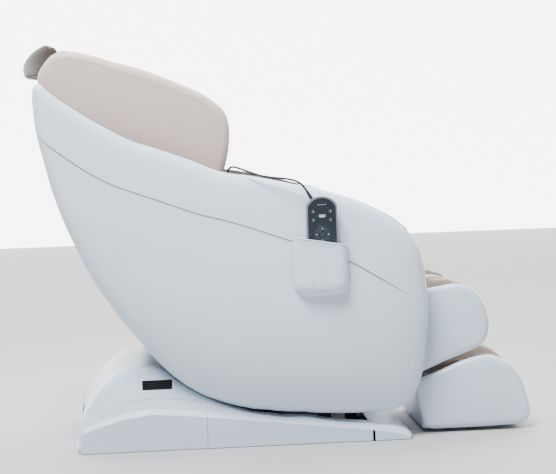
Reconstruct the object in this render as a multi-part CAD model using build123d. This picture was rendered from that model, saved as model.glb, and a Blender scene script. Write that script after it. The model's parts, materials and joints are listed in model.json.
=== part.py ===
from build123d import *
from math import cos, hypot, radians, sin
import os

# A zero-gravity massage chair. +X points to the foot end, +Z up, the floor is z = 0.
# The seat module rocks about one cross axis on curved rails, over rollers in a low base.
# Side-view places are written for a chair of drawn_length by drawn_height and follow the
# real length and height. Widths, walls and hardware keep their own sizes.

# Overall sizes, mm
drawn_length = 1450.0
drawn_height = 1167.0
chair_length = 1450.0
chair_height = 1167.0
shell_width = 760.0          # over both side shells
seat_width = 480.0           # between the arms
leg_unit_width = 470.0
base_width = 624.0
hood_width = 540.0

# Walls and gaps
shell_wall = 9.0
pad_gap = 2.0                # between a soft part and what holds it
seam_gap = 2.0               # between two skins that meet
cover_wall = 4.0
leg_wall = 7.0

# Rocking rails and their rollers
rail_outer = 594.0
rail_depth = 26.0
rail_thick = 16.0
rail_spacing = 360.0         # between the middles of the two rails
roller_radius = 22.0
roller_width = 22.0
roller_shaft_radius = 8.0
running_fit = 0.05
rail_clearance = 0.4
scoop_gap = 30.0             # from the rails' outer arc to the base's hollow top
tilt_range = 28.0

# Frame tubes
tube_size = 24.0
floor_rail_width = 40.0
floor_rail_height = 30.0
cross_height = 16.0
floor_pad_thick = 6.0

# Massage carriage
track_spacing = 190.0
track_thick = 8.0
track_depth = 36.0
massage_roller_radius = 38.0
massage_roller_width = 26.0
massage_shaft_radius = 6.0
arm_thick = 10.0

# Remote control and its pocket
remote_width = 90.0
remote_height = 228.0
remote_thick = 22.0
pocket_width = 152.0
pocket_wall = 2.5
cord_diameter = 6.0

# Transport wheels
wheel_radius = 30.0
wheel_width = 22.0
wheel_pin_radius = 6.0

stretch_x = chair_length / drawn_length
stretch_z = chair_height / drawn_height
half_shell = shell_width / 2
half_seat = seat_width / 2
half_leg = leg_unit_width / 2
half_base = base_width / 2
half_hood = hood_width / 2
rail_y = rail_spacing / 2
track_y = track_spacing / 2
inner_shell = half_seat + 10.0       # inner edge of the closed part of a side shell
rim_inner = half_shell - 55.0        # inner edge of the arm's rolled top


def at(x, z):
    """A place in the side view, for the chair's real length and height."""
    return (x * stretch_x, z * stretch_z)


tilt_x, tilt_z = at(52, 700)
leg_x, leg_z = at(358, 410)

# Side-view outlines
shell_line = [
    (-686, 1022), (-678, 911), (-663, 844), (-642, 755), (-613, 665), (-575, 574), (-531, 483),
    (-471, 390), (-399, 296), (-331, 219), (-277, 174), (-208, 137), (-110, 107), (-26, 95),
    (89, 84), (174, 78), (263, 77), (312, 83), (343, 94), (368, 115), (388, 154), (400, 199),
    (412, 288), (417, 374), (414, 437), (409, 480), (400, 530), (381, 574), (356, 607),
    (319, 638), (275, 664), (214, 693), (150, 715), (83, 733), (25, 749), (-31, 762), (-87, 774), (-165, 788), (-253, 825), (-335, 856),
    (-419, 886), (-500, 931), (-581, 983), (-634, 1023), (-664, 1050), (-680, 1044),
]
seam_line = [
    (-720, 945), (-662, 894), (-612, 852), (-559, 813), (-478, 766), (-355, 718), (-231, 672),
    (-149, 649), (-24, 605), (185, 524), (268, 475), (345, 428), (400, 396),
]
hood_line = [
    (-672, 1071), (-655, 1105), (-632, 1130), (-605, 1141), (-535, 1130), (-466, 1108),
    (-382, 1083), (-299, 1050), (-216, 1011), (-174, 982), (-149, 955), (-138, 919),
    (-138, 882), (-143, 842), (-154, 798), (-166, 765), (-200, 752), (-300, 800),
    (-400, 840), (-500, 880), (-590, 940), (-655, 1010),
]
calf_line = [
    (385, 416), (419, 423), (462, 430), (510, 435), (545, 427), (573, 407), (593, 376), (605, 336),
    (607, 306), (601, 277), (584, 254), (545, 235), (486, 214), (430, 191), (388, 176),
    (374, 190), (372, 290), (374, 400),
]
foot_line = [
    (411, 166), (456, 182), (515, 206), (560, 218), (604, 221), (634, 213), (669, 191),
    (694, 160), (711, 115), (721, 75), (724, 45), (716, 27), (689, 17), (629, 12),
    (540, 11), (466, 11), (425, 13), (409, 22), (400, 54), (390, 100), (381, 140), (386, 157),
]
base_line = [
    (-596, 4), (-598, 26), (-591, 72), (-578, 108), (-544, 161), (-515, 191), (-472, 222),
    (-428, 236), (-392, 240),
]
seat_line = [
    (-205, 470), (-120, 452), (20, 448), (160, 456), (270, 464), (300, 458), (314, 436),
    (310, 404), (290, 394), (100, 390), (-60, 390), (-166, 397), (-204, 414), (-216, 442),
]

leg_lean = (50.0, -210.0)            # the way the calf and foot units hang, in the side view


def unit(x, z):
    size = hypot(x, z)
    return x / size, z / size


def node(name, shape):
    export_step(shape, "parts/" + name + ".step")


def mirrored(shape):
    return mirror(shape, Plane.XZ)


def slab(low, high):
    """A box between two corners."""
    size = [high[i] - low[i] for i in range(3)]
    middle = [(high[i] + low[i]) / 2 for i in range(3)]
    return Pos(*middle) * Box(*size)


def cross_cylinder(x, z, radius, y_low, y_high):
    """A cylinder along Y."""
    turned = Pos(x, (y_low + y_high) / 2, z) * Rot(90, 0, 0)
    return turned * Cylinder(radius, y_high - y_low)


def line_box(line):
    xs = [point[0] for point in line]
    zs = [point[1] for point in line]
    return min(xs), min(zs), max(xs), max(zs)


def side_face(line, y, inset):
    """The closed smooth outline at y, drawn in by the inset on every side."""
    placed = [at(x, z) for x, z in line]
    x_low, z_low, x_high, z_high = line_box(placed)
    shrink_x = 1 - 2 * inset / (x_high - x_low)
    shrink_z = 1 - 2 * inset / (z_high - z_low)
    mid_x = (x_low + x_high) / 2
    mid_z = (z_low + z_high) / 2
    points = [(mid_x + (x - mid_x) * shrink_x, y, mid_z + (z - mid_z) * shrink_z) for x, z in placed]
    return make_face(Spline(*points, periodic=True))


def rounded_form(line, sections):
    """A closed solid through the outline at each (y, inset)."""
    return loft([side_face(line, y, inset) for y, inset in sections], ruled=True)


def band(line, y_low, y_high, inset=0.0):
    """The outline as a straight block between two widths."""
    face = side_face(line, y_low, inset)
    return extrude(face, amount=y_high - y_low, dir=(0, 1, 0))


def below(line, y_low, y_high, drop, depth):
    """All that lies under an open side-view curve, moved down by drop."""
    placed = [at(x, z) for x, z in line]
    curve = Spline(*[(x, y_low, z - drop) for x, z in placed])
    start, end = curve @ 0, curve @ 1
    low_end = Vector(end.X, y_low, -depth)
    low_start = Vector(start.X, y_low, -depth)
    edges = [curve, Line(end, low_end), Line(low_end, low_start), Line(low_start, start)]
    return extrude(make_face(edges), amount=y_high - y_low, dir=(0, 1, 0))


def tilt_arc(radius, angle, y=0.0):
    """A place on a circle about the rocking axis; 0 is straight down, minus is the rear."""
    turn = radians(angle)
    return Vector(tilt_x + radius * sin(turn), y, tilt_z - radius * cos(turn))


def tilt_sector(inner, outer, first, last, y_low, y_high):
    """A curved bar about the rocking axis."""
    middle = (first + last) / 2
    rim = ThreePointArc(*[tilt_arc(outer, a, y_low) for a in (first, middle, last)])
    root = ThreePointArc(*[tilt_arc(inner, a, y_low) for a in (last, middle, first)])
    ends = [Line(rim @ 1, root @ 0), Line(root @ 1, rim @ 0)]
    return extrude(make_face([rim, ends[0], root, ends[1]]), amount=y_high - y_low, dir=(0, 1, 0))


def bar(path, width, height):
    """A flat bar or square tube along a path in the side view."""
    start = Plane(origin=path @ 0, x_dir=(0, 1, 0), z_dir=path % 0)
    return sweep(start * Rectangle(width, height), path=path)


# Side shells ---------------------------------------------------------------

def side_form(grow, mouth=0.0):
    """The outside of one side shell, grown or drawn in evenly, its inner edge moved by the mouth."""
    outer = -half_shell - grow
    sections = [(-inner_shell + mouth, -grow), (-rim_inner, -grow), (outer + 38, 2.0 - grow),
                (outer + 19, 11.0 - grow), (outer + 7, 25.0 - grow), (outer, 50.0 - grow)]
    return rounded_form(shell_line, sections)


def side_shell_skin():
    return side_form(0) - side_form(-shell_wall, 5.0)


def arm_top_cut():
    """The long opening over the forearm channel, inside the arm's rolled edge."""
    x_low, z_low = at(-720, 560)
    x_high, z_high = at(238, 1100)
    return slab((x_low, -rim_inner, z_low), (x_high, 0, z_high))


def side_pieces(skin):
    deep = 400.0
    under = below(seam_line, -half_shell - 10, -inner_shell + 10, seam_gap, deep)
    over_cut = below(seam_line, -half_shell - 10, -inner_shell + 10, 0.0, deep)
    lower = skin & under
    upper = skin - over_cut - arm_top_cut()
    return lower, upper


channel_floor = 585.0
channel_outer = half_shell - 36.0
channel_inner = half_seat + 24.0


def arm_pad():
    """The lining of the forearm channel and the soft inner side of the arm."""
    block = band(shell_line, -channel_outer - 8, -half_seat - pad_gap, 26.0)
    x_low, z_low = at(-335, 400)
    x_high, z_high = at(232, 900)
    block = block & slab((x_low, -half_shell, z_low), (x_high, 0, z_high))
    under_rim = rim_inner - pad_gap
    block = block - slab((x_low, -half_shell, z_low), (x_high, -under_rim, channel_floor - 60))
    floor_z = channel_floor * stretch_z
    channel = slab((x_low - 5, -channel_outer, floor_z), (x_high + 5, -channel_inner, z_high + 50))
    wing = band(hood_line, -half_hood - pad_gap, -half_hood + hood_thick + pad_gap, -pad_gap)
    return block - channel - wing


# Seat module ----------------------------------------------------------------

back_low = Vector(at(-330, 430)[0], 0, at(-330, 430)[1])
back_high = Vector(at(-577, 1030)[0], 0, at(-577, 1030)[1])
back_dir = (back_high - back_low).normalized()
back_front = Vector(back_dir.Z, 0, -back_dir.X)


def back_point(along, forward, y=0.0):
    """A place beside the straight part of the back track."""
    place = back_low + back_dir * along + back_front * forward
    return Vector(place.X, y, place.Z)


def track_path(y):
    corners = [back_point((back_high - back_low).length, 0, y), back_point(0, 0, y)]
    corners.append(Vector(at(-235, 318)[0], y, at(-235, 318)[1]))
    corners.append(Vector(at(-90, 296)[0], y, at(-90, 296)[1]))
    corners.append(Vector(at(150, 296)[0], y, at(150, 296)[1]))
    return FilletPolyline(*corners, radius=[90, 70, 60])


def roller_track():
    return bar(track_path(-track_y), track_thick, track_depth)


frame_y = half_seat - tube_size / 2 - 2
frame_reach = half_shell - 60.0
front_tube = at(285, 353)
seat_tube_rear = at(-312, 338)
head_tube = at(-612, 1000)


def cross_tube(place, reach):
    x, z = place
    half = tube_size / 2
    return slab((x - half, -reach, z - half), (x + half, reach, z + half))


def rail():
    """One curved rail, its ends past the rollers at both ends of the travel."""
    rail_low = rail_y - rail_thick / 2
    return tilt_sector(rail_outer - rail_depth, rail_outer, rear_roller - tilt_range - 6,
                       front_roller + 6, -rail_low - rail_thick, -rail_low)


rear_roller = -21.0
front_roller = 6.0


def rail_hanger(angle):
    """An upright from a rail's inner arc to the frame tube over it."""
    foot = tilt_arc(rail_outer - rail_depth - 0.5, angle)
    half = tube_size / 2
    top = seat_tube_z(foot.X) - half
    inner = rail_y - rail_thick / 2
    post = slab((foot.X - half, inner, foot.Z - half), (foot.X + half, frame_y + half, top + 2))
    return post - tilt_sector(rail_outer - rail_depth - 0.3, rail_outer + 60, -80, 80, inner - 1, frame_y + half + 1)


def seat_tube_z(x):
    """The height of the long seat tubes' middle at x."""
    share = (x - seat_tube_rear[0]) / (front_tube[0] - seat_tube_rear[0])
    return seat_tube_rear[1] + share * (front_tube[1] - seat_tube_rear[1])


def seat_frame():
    """Welded tube frame: seat, back, cross tubes, hinge ears and actuator brackets."""
    corners = [(front_tube[0], frame_y, front_tube[1]), (seat_tube_rear[0], frame_y, seat_tube_rear[1])]
    corners.append((at(-440, 500)[0], frame_y, at(-440, 500)[1]))
    corners.append((head_tube[0], frame_y, head_tube[1]))
    long_tube = bar(FilletPolyline(*corners, radius=[40, 60]), tube_size, tube_size)
    frame = long_tube + mirrored(long_tube)
    for place in (front_tube, seat_tube_rear):
        frame += cross_tube(place, frame_reach)
    frame += cross_tube(head_tube, frame_y)
    for angle in (rear_roller - 17, -8, front_roller):
        hanger = rail_hanger(angle)
        frame += hanger + mirrored(hanger)
    ear = hinge_ear()
    frame += ear + mirrored(ear)
    frame += tilt_bracket() + leg_bracket()
    return frame


hinge_radius = 9.0
ear_thick = 6.0
hinge_arm_thick = 6.0
pad_side = half_leg - 24.0           # inner face of the calf and foot units' sides
ear_inner = min(frame_y - tube_size / 2, pad_side - pad_gap) - ear_thick


def hinge_ear():
    """The plate that carries the leg rest's pivot pin, with the pin."""
    y_low = ear_inner
    y_high = y_low + ear_thick
    low = front_tube[1] - tube_size / 2
    plate = slab((front_tube[0] - 5, y_low, low), (leg_x + 14, y_high, low + 26))
    plate += slab((front_tube[0] - 5, y_high - 1, low), (front_tube[0] + 10, frame_y, low + 24))
    plate += slab((leg_x - 16, y_low, low), (leg_x + 14, y_high, leg_z))
    plate += cross_cylinder(leg_x, leg_z, 18, y_low, y_high)
    pin = cross_cylinder(leg_x, leg_z, hinge_radius, y_low - hinge_arm_thick - 4, y_low + 1)
    return plate + pin


def back_cover():
    """The moulded cover behind the back, between the side shells."""
    reach = inner_shell - seam_gap
    skin = band(shell_line, -reach, reach, 4.0) - band(shell_line, -reach - 1, reach + 1, 4.0 + cover_wall)
    x_rear, z_low = at(-700, 330)
    x_front, z_high = at(-440, 1046)
    kept = skin & slab((x_rear, -reach, z_low), (x_front, reach, z_high))
    return kept - cover_front_cut()


def cover_front_cut():
    """Clears the top of the outline, so only the rear wall of the cover is left."""
    line = [(-655, 1200), (-655, 985), (-620, 800), (-560, 640), (-495, 520), (-440, 425), (-380, 300)]
    placed = [at(x, z) for x, z in line]
    points = [(x, -half_shell, z) for x, z in placed]
    points += [(0, -half_shell, placed[-1][1]), (0, -half_shell, placed[0][1])]
    return extrude(make_face(Polyline(*points, close=True)), amount=shell_width, dir=(0, 1, 0))


seat_edge = 18.0


def seat_cushion():
    """The pad between the arms, its long edges rounded."""
    half = half_seat - pad_gap
    x_low, z_low, x_high, z_high = line_box([at(x, z) for x, z in seat_line])
    section = RectangleRounded(2 * half, z_high - z_low + 4, seat_edge)
    across = Plane(origin=(x_low - 10, 0, (z_low + z_high) / 2), x_dir=(0, 1, 0), z_dir=(1, 0, 0)) * section
    return band(seat_line, -half, half) & extrude(across, amount=x_high - x_low + 20)


def back_block(start, end, rear, front, half_width, edge):
    """A rounded block standing on the back track's line."""
    middle = back_point((start + end) / 2, (rear + front) / 2)
    place = Plane(origin=middle, x_dir=back_front, z_dir=back_dir)
    block = place * Box(front - rear, 2 * half_width, end - start)
    return fillet(block.edges(), edge)


cushion_rear = 88.0
cushion_front = 150.0
cushion_top = 475.0
pillow_rise = 8.0


def back_cushion():
    return back_block(52, cushion_top, cushion_rear, cushion_front, half_seat - pad_gap, 20)


def head_pillow():
    top = (back_high - back_low).length + pillow_rise
    return back_block(cushion_top + pad_gap + 2, top, cushion_rear + 4, cushion_front + 14, 150, 26)


# Hood -----------------------------------------------------------------------

hood_thick = 29.0


def hood_side():
    outer = -half_hood
    inner = outer + hood_thick
    sections = [(outer, 16), (outer + 4, 6), (outer + 13, 0), (inner - 13, 0), (inner - 4, 6), (inner, 16)]
    wing = rounded_form(hood_line, sections)
    return wing - slab((-2000, -half_shell, 0), (at(-608, 0)[0], half_shell, 2000))


hood_crown = 1167.0


def hood_back():
    """The padded flap that closes the hood round the back of the head."""
    rear = at(-725, 0)[0]
    side_x = at(-610, 0)[0]
    half = half_hood - 1
    outer = ThreePointArc((side_x, -half, 0), (rear, 0, 0), (side_x, half, 0))
    inner = ThreePointArc((side_x, half - 30, 0), (rear + 32, 0, 0), (side_x, -half + 30, 0))
    ends = [Line(outer @ 1, inner @ 0), Line(inner @ 1, outer @ 0)]
    wall = extrude(make_face([outer, ends[0], inner, ends[1]]), amount=1300, dir=(0, 0, 1))
    line = [(-735, 1098), (-712, 1128), (-688, 1150), (-652, hood_crown), (-612, 1152), (-560, 1150)]
    low = [(-560, 1060), (-640, 1068), (-735, 1072)]
    points = [at(x, z) for x, z in line + low]
    profile = make_face(Polyline(*[(x, -half_shell, z) for x, z in points], close=True))
    return wall & extrude(profile, amount=shell_width, dir=(0, 1, 0))


# Leg rest -------------------------------------------------------------------

lean_x, lean_z = unit(*leg_lean)
leg_frame_y = 150.0
slide_radius = 9.0
slide_wall = 3.0
sleeve_length = 150.0
slide_top = at(360, 338)


def lean_point(start, along, y=0.0):
    return Vector(start[0] + lean_x * along, y, start[1] + lean_z * along)


def lean_cylinder(start, first, last, radius, y):
    """A round bar along the way the legs hang."""
    middle = lean_point(start, (first + last) / 2, y)
    place = Plane(origin=middle, x_dir=(0, 1, 0), z_dir=(lean_x, 0, lean_z))
    return place * Cylinder(radius, last - first)


def unit_form(line, grow, side_inset=20.0):
    """The outside of the calf or foot unit, its side edges rolled."""
    half = half_leg + grow
    sections = [(-half, side_inset - grow), (-half + 7, side_inset * 0.4 - grow), (-half + 22, -grow),
                (half - 22, -grow), (half - 7, side_inset * 0.4 - grow), (half, side_inset - grow)]
    return rounded_form(line, sections)


well_y = 108.0
calf_well_radius = 70.0
foot_well_half = 60.0


def calf_housing():
    """Both outer sides and the wall between them, with the pad ahead and the carrier behind."""
    wall = at(434, 0)[0]
    ahead = slab((wall, -pad_side, 0), (at(700, 0)[0], pad_side, at(0, 520)[1]))
    behind = slab((at(300, 0)[0], -pad_side, 0), (wall - leg_wall, pad_side, at(0, 520)[1]))
    return unit_form(calf_line, 0) - ahead - behind


def calf_well(y):
    """One leg's channel: round at the back, open to the front."""
    start = at(532, 310)
    tube = lean_cylinder(start, -200, 200, calf_well_radius, y)
    middle = lean_point(start, 0, y) + Vector(-lean_z, 0, lean_x) * 100
    place = Plane(origin=middle, x_dir=(0, 1, 0), z_dir=(lean_x, 0, lean_z))
    return tube + place * Box(2 * calf_well_radius, 200, 400)


def calf_pad():
    block = unit_form(calf_line, -3, 6) & slab((at(434, 0)[0] + pad_gap, -pad_side + pad_gap, 0),
                                               (at(700, 0)[0], pad_side - pad_gap, 2000))
    crest = [(434, 456), (485, 457), (515, 448), (540, 438), (571, 410), (600, 380)]
    rise = below([(380, 450)] + crest + [(660, 300)], -pad_side + pad_gap, pad_side - pad_gap, 2, 0)
    upper = slab((at(434, 0)[0] + pad_gap, -pad_side + pad_gap, at(0, 330)[1]),
                 (at(592, 0)[0], pad_side - pad_gap, 2000))
    return block + (rise & upper) - calf_well(-well_y) - calf_well(well_y)


def calf_frame():
    """Steel carrier: hinge arms, back plate, guide tubes and the actuator's ears."""
    back_x = at(398, 0)[0]
    plate = slab((back_x, -leg_frame_y - 30, at(0, 225)[1]), (back_x + 6, leg_frame_y + 30, at(0, 400)[1]))
    frame = plate
    arm_y_low = ear_inner - pad_gap - hinge_arm_thick
    for side in (-1, 1):
        y_low, y_high = sorted((side * arm_y_low, side * (arm_y_low + hinge_arm_thick)))
        arm = slab((leg_x - 2, y_low, leg_z - 16), (back_x + 6, y_high, leg_z + 14))
        arm += cross_cylinder(leg_x, leg_z, 18, y_low, y_high)
        arm -= cross_cylinder(leg_x, leg_z, hinge_radius + running_fit, y_low - 1, y_high + 1)
        y_in, y_out = sorted((side * (leg_frame_y + 20), side * (arm_y_low + hinge_arm_thick)))
        frame += arm + slab((back_x, y_in, leg_z - 40), (back_x + 6, y_out, leg_z + 14))
        sleeve = lean_cylinder(slide_top, 0, sleeve_length, slide_radius + slide_wall, side * leg_frame_y)
        web_x = slide_top[0]
        web = slab((web_x, side * leg_frame_y - 4, slide_top[1] - 70), (back_x + 1, side * leg_frame_y + 4, slide_top[1] - 8))
        frame += sleeve + web
        bore = lean_cylinder(slide_top, -5, sleeve_length + 5, slide_radius + running_fit, side * leg_frame_y)
        frame -= bore
    for side in (-1, 1):
        cheek_y = leg_drive_y + side * cheek_space
        cheek = slab((leg_rod_end[0] - 16, cheek_y - 3, leg_rod_end[1] - 16), (back_x + 1, cheek_y + 3, leg_rod_end[1] + 16))
        frame += cheek
    window = slab((back_x - 1, leg_drive_y - cheek_space + 3, leg_rod_end[1] - 40),
                  (back_x + 7, leg_drive_y + cheek_space - 3, leg_rod_end[1] + 40))
    return frame - window


def foot_housing():
    wall = at(404, 0)[0] + leg_wall
    hollow = slab((wall, -pad_side, at(0, 34)[1]), (at(800, 0)[0], pad_side, at(0, 400)[1]))
    tubes = foot_tube(-1, slide_radius + 0.5) + foot_tube(1, slide_radius + 0.5)
    return unit_form(foot_line, 0) - hollow - tubes


def foot_tube(side, radius):
    return lean_cylinder(slide_top, 4, slide_length, radius, side * leg_frame_y)


slide_length = 262.0


def foot_slides():
    """The two steel tubes that carry the foot unit, tied by a bar in its heel."""
    return foot_tube(-1, slide_radius) + foot_tube(1, slide_radius)


def foot_well(y):
    sole = at(0, 82)[1]
    heel = at(448, 0)[0]
    toe = at(676, 0)[0]
    well = slab((heel, y - foot_well_half, sole), (toe, y + foot_well_half, 2000))
    mouth = slab((at(600, 0)[0], y - foot_well_half, at(0, 128)[1]), (toe + 300, y + foot_well_half, 2000))
    return fillet(well.edges().filter_by(Axis.Z), 30) + mouth


def foot_pad():
    wall = at(404, 0)[0] + leg_wall + pad_gap
    keep = slab((wall, -pad_side + pad_gap, at(0, 34)[1] + pad_gap), (at(714, 0)[0], pad_side - pad_gap, 2000))
    block = unit_form(foot_line, 8, 16) & keep
    block -= foot_tube(-1, slide_radius + 1) + foot_tube(1, slide_radius + 1)
    return block - foot_well(-well_y) - foot_well(well_y)


# Linear actuators -------------------------------------------------------------

cheek_space = 14.0
drive_radius = 24.0
drive_tube_radius = 15.0
drive_neck_radius = 9.0
rod_radius = 8.0
eye_radius = 12.0
eye_thick = 19.0
bore_start = 60.0
tilt_stroke = 200.0
tilt_drive_y = 60.0
leg_drive_y = -60.0
tilt_drive_foot = at(225, 50)
tilt_rod_end = at(-218, 378)
leg_drive_foot = at(60, 215)
leg_rod_end = at(380, 300)


def drive_line(foot, end, y):
    start = Vector(foot[0], y, foot[1])
    finish = Vector(end[0], y, end[1])
    return start, finish, (finish - start).normalized()


def drive_cylinder(foot, end, y, first, last, radius):
    start, finish, along = drive_line(foot, end, y)
    middle = start + along * ((first + last) / 2)
    return Plane(origin=middle, z_dir=along) * Cylinder(radius, last - first)


def drive_body(foot, end, y, body_length):
    """A motor housing with its pivot eye at the foot and a bore for the rod."""
    eye = cross_cylinder(foot[0], foot[1], eye_radius, y - eye_thick / 2, y + eye_thick / 2)
    body = eye + drive_cylinder(foot, end, y, 4, 50, drive_neck_radius)
    body += drive_cylinder(foot, end, y, 46, 112, drive_radius)
    body += drive_cylinder(foot, end, y, 108, body_length, drive_tube_radius)
    bore = drive_cylinder(foot, end, y, bore_start, body_length + 5, rod_radius + running_fit)
    return body - bore


def drive_rod(foot, end, y, hidden):
    """The rod, from where it starts inside the body to its eye."""
    start, finish, along = drive_line(foot, end, y)
    reach = (finish - start).length
    rod = drive_cylinder(foot, end, y, hidden, reach - 4, rod_radius)
    return rod + cross_cylinder(end[0], end[1], eye_radius, y - eye_thick / 2, y + eye_thick / 2)


def drive_cheeks(place, y, reach_z, size=16):
    """Two plates beside an actuator's eye, down or up to a frame member."""
    plates = []
    for side in (-1, 1):
        middle = y + side * cheek_space
        low = min(place[1] - size, reach_z)
        high = max(place[1] + size, reach_z)
        plates.append(slab((place[0] - size, middle - 3, low), (place[0] + size, middle + 3, high)))
    return plates[0] + plates[1]


tilt_body_length = 304.0
leg_body_length = 232.0


def tilt_bracket():
    """Hangs the rocking actuator's rod end from a short cross tube."""
    top = seat_tube_rear[1]
    arm = drive_cheeks(tilt_rod_end, tilt_drive_y, tilt_rod_end[1] - 30)
    bridge_x = seat_tube_rear[0]
    for side in (-1, 1):
        middle = tilt_drive_y + side * cheek_space
        arm += slab((bridge_x - 4, middle - 3, top - 6), (tilt_rod_end[0], middle + 3, top + 12))
    return arm


def leg_bracket():
    """A cross tube under the seat and the plates that hold the leg actuator's foot."""
    x, z = leg_drive_foot
    half = tube_size / 2
    tube_z = seat_tube_z(x - 55)
    tube = slab((x - 55 - half, -frame_y, tube_z - half), (x - 55 + half, frame_y, tube_z + half))
    plates = drive_cheeks((x - 30, z), leg_drive_y, tube_z)
    plates += drive_cheeks((x, z), leg_drive_y, z)
    pin = cross_cylinder(x, z, 6, leg_drive_y - cheek_space - 2, leg_drive_y + cheek_space + 2)
    return tube + plates - pin


def drive_pin_hole(shape, foot, y):
    return shape - cross_cylinder(foot[0], foot[1], 6 + running_fit, y - 20, y + 20)


# Base -----------------------------------------------------------------------

scoop_radius = rail_outer + scoop_gap


def base_profile():
    """The base's side outline: rear dome, hollow top about the rocking axis, low nose."""
    dome = [at(x, z) for x, z in base_line]
    scoop_from, scoop_to = -36.0, 0.0
    rear = Spline(*[(x, 0, z) for x, z in dome], Vector(tilt_arc(scoop_radius, scoop_from - 3)) + Vector(-6, 0, 4))
    scoop = ThreePointArc(tilt_arc(scoop_radius, scoop_from), tilt_arc(scoop_radius, scoop_from / 2),
                          tilt_arc(scoop_radius, scoop_to))
    nose_points = [at(x, z) for x, z in [(150, 56), (260, 44), (335, 30), (362, 12), (364, 4)]]
    nose = Spline(scoop @ 1, *[(x, 0, z) for x, z in nose_points])
    joint = Line(rear @ 1, scoop @ 0)
    floor = Line(nose @ 1, rear @ 0)
    return make_face([rear, joint, scoop, nose, floor])


def base_form(inset):
    """The base as a block with bevelled long sides; the inset hollows it."""
    profile = base_profile()
    flat = extrude(profile, amount=half_base - inset, both=True, dir=(0, 1, 0))
    cuts = []
    for side in (-1, 1):
        top = half_base - 56 - inset
        edge_y = side * (half_base + 1)
        points = [(0, side * top, 400), (0, side * top, 250 - inset), (0, side * (half_base - inset), 96 - inset),
                  (0, edge_y, 96 - inset), (0, edge_y, 400)]
        face = make_face(Polyline(*points, close=True))
        cuts.append(Pos(-chair_length, 0, 0) * extrude(face, amount=2 * chair_length, dir=(1, 0, 0)))
    return flat - cuts[0] - cuts[1]


def base_skin():
    outer = base_form(0)
    x_low = at(-598, 0)[0]
    x_high = at(364, 0)[0]
    core = base_form(cover_wall)
    hollow = Pos(0, 0, -cover_wall) * core & slab((x_low + cover_wall, -half_base, -20),
                                                  (x_high - cover_wall - 4, half_base, 400))
    return outer - hollow


rear_split = -231.0
nose_split = 252.0


def base_covers():
    """Rear, right, left and nose covers, parted by narrow seams."""
    skin = base_skin()
    opening = slab((at(-318, 0)[0], -half_base + 74, 20), (at(nose_split - 8, 0)[0], half_base - 74, 400))
    skin = skin - opening
    rear_x = at(rear_split, 0)[0]
    nose_x = at(nose_split, 0)[0]
    rear = skin & slab((-2000, -500, -10), (rear_x - seam_gap / 2, 500, 500))
    nose = skin & slab((nose_x + seam_gap / 2, -500, -10), (2000, 500, 500))
    middle = slab((rear_x + seam_gap / 2, -500, -10), (nose_x - seam_gap / 2, 0, 500))
    right = skin & middle
    notch = wheel_notch(-1) + wheel_notch(1)
    rear = rear - notch - inlet_cut(0.5) - vent_cut()
    return rear, right, nose


def vent_cut():
    x_low, z_low = at(-413, 166)
    x_high, z_high = at(-322, 198)
    window = slab((x_low, -half_base, z_low), (x_high, -half_base + 70, z_high))
    return window


def vent_grille():
    """A slotted insert in the near slope of the rear cover."""
    x_low, z_low = at(-413, 166)
    x_high, z_high = at(-322, 198)
    gap = 0.4
    core = base_form(1.0) - Pos(0, 3, -3) * base_form(1.0)
    insert = core & slab((x_low + gap, -half_base, z_low + gap), (x_high - gap, -half_base + 69, z_high - gap))
    return insert


inlet_y = 96.0
inlet_z = 62.0


def inlet_cut(grow):
    z = inlet_z * stretch_z
    return slab((-2000, inlet_y - 46 - grow, z - 16 - grow), (at(-540, 0)[0], inlet_y + 46 + grow, z + 16 + grow))


def power_inlet():
    """Mains inlet plate in the rear cover, with the inlet's recess and the switch's slot."""
    rear = at(-594, 0)[0]
    z = inlet_z * stretch_z
    block = slab((rear, inlet_y - 46, z - 16), (rear + 34, inlet_y + 46, z + 16))
    recess = slab((rear - 1, inlet_y - 38, z - 11), (rear + 22, inlet_y - 6, z + 11))
    slot = slab((rear - 1, inlet_y + 10, z - 11), (rear + 20, inlet_y + 34, z + 11))
    pins = [cross_pin(rear, inlet_y - 22 + offset, z + rise) for offset, rise in [(-8, -3), (0, 3), (8, -3)]]
    return block - recess - slot + pins[0] + pins[1] + pins[2]


def cross_pin(x, y, z):
    return slab((x + 6, y - 1, z - 2), (x + 23, y + 1, z + 2))


def power_switch():
    """Rocker switch: two faces that meet at a low angle, on its own pivot."""
    rear = at(-594, 0)[0]
    z = inlet_z * stretch_z
    points = [(rear - 4, z - 9.5), (rear - 1, z), (rear, z + 9.5), (rear + 8, z + 8), (rear + 12, z), (rear + 8, z - 8)]
    face = make_face(Polyline(*[(x, inlet_y + 10.7, h) for x, h in points], close=True))
    return extrude(face, amount=22.6, dir=(0, 1, 0))


wheel_y = 226.0
wheel_x = -560.0


def wheel_notch(side):
    x = at(wheel_x, 0)[0]
    y = side * wheel_y
    return slab((-2000, y - wheel_width / 2 - 5, -5), (x + 20, y + wheel_width / 2 + 5, wheel_radius + 22))


def transport_wheel():
    x = at(wheel_x, 0)[0]
    z = wheel_radius + 2
    half = wheel_width / 2
    wheel = cross_cylinder(x, z, wheel_radius, -wheel_y - half, -wheel_y + half)
    tread = wheel.edges().filter_by(GeomType.CIRCLE)
    wheel = fillet(tread, 4)
    return wheel - cross_cylinder(x, z, wheel_pin_radius + running_fit, -wheel_y - half - 1, -wheel_y + half + 1)


def floor_pads():
    pads = []
    for x in pad_places:
        place = at(x, 0)[0]
        pads.append(slab((place - 22, -floor_rail_y - 18, 0), (place + 22, floor_rail_y + 18, floor_pad_thick)))
    return Compound(children=pads)


pad_places = (-500, 0, 290)
floor_rail_y = 268.0


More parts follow.
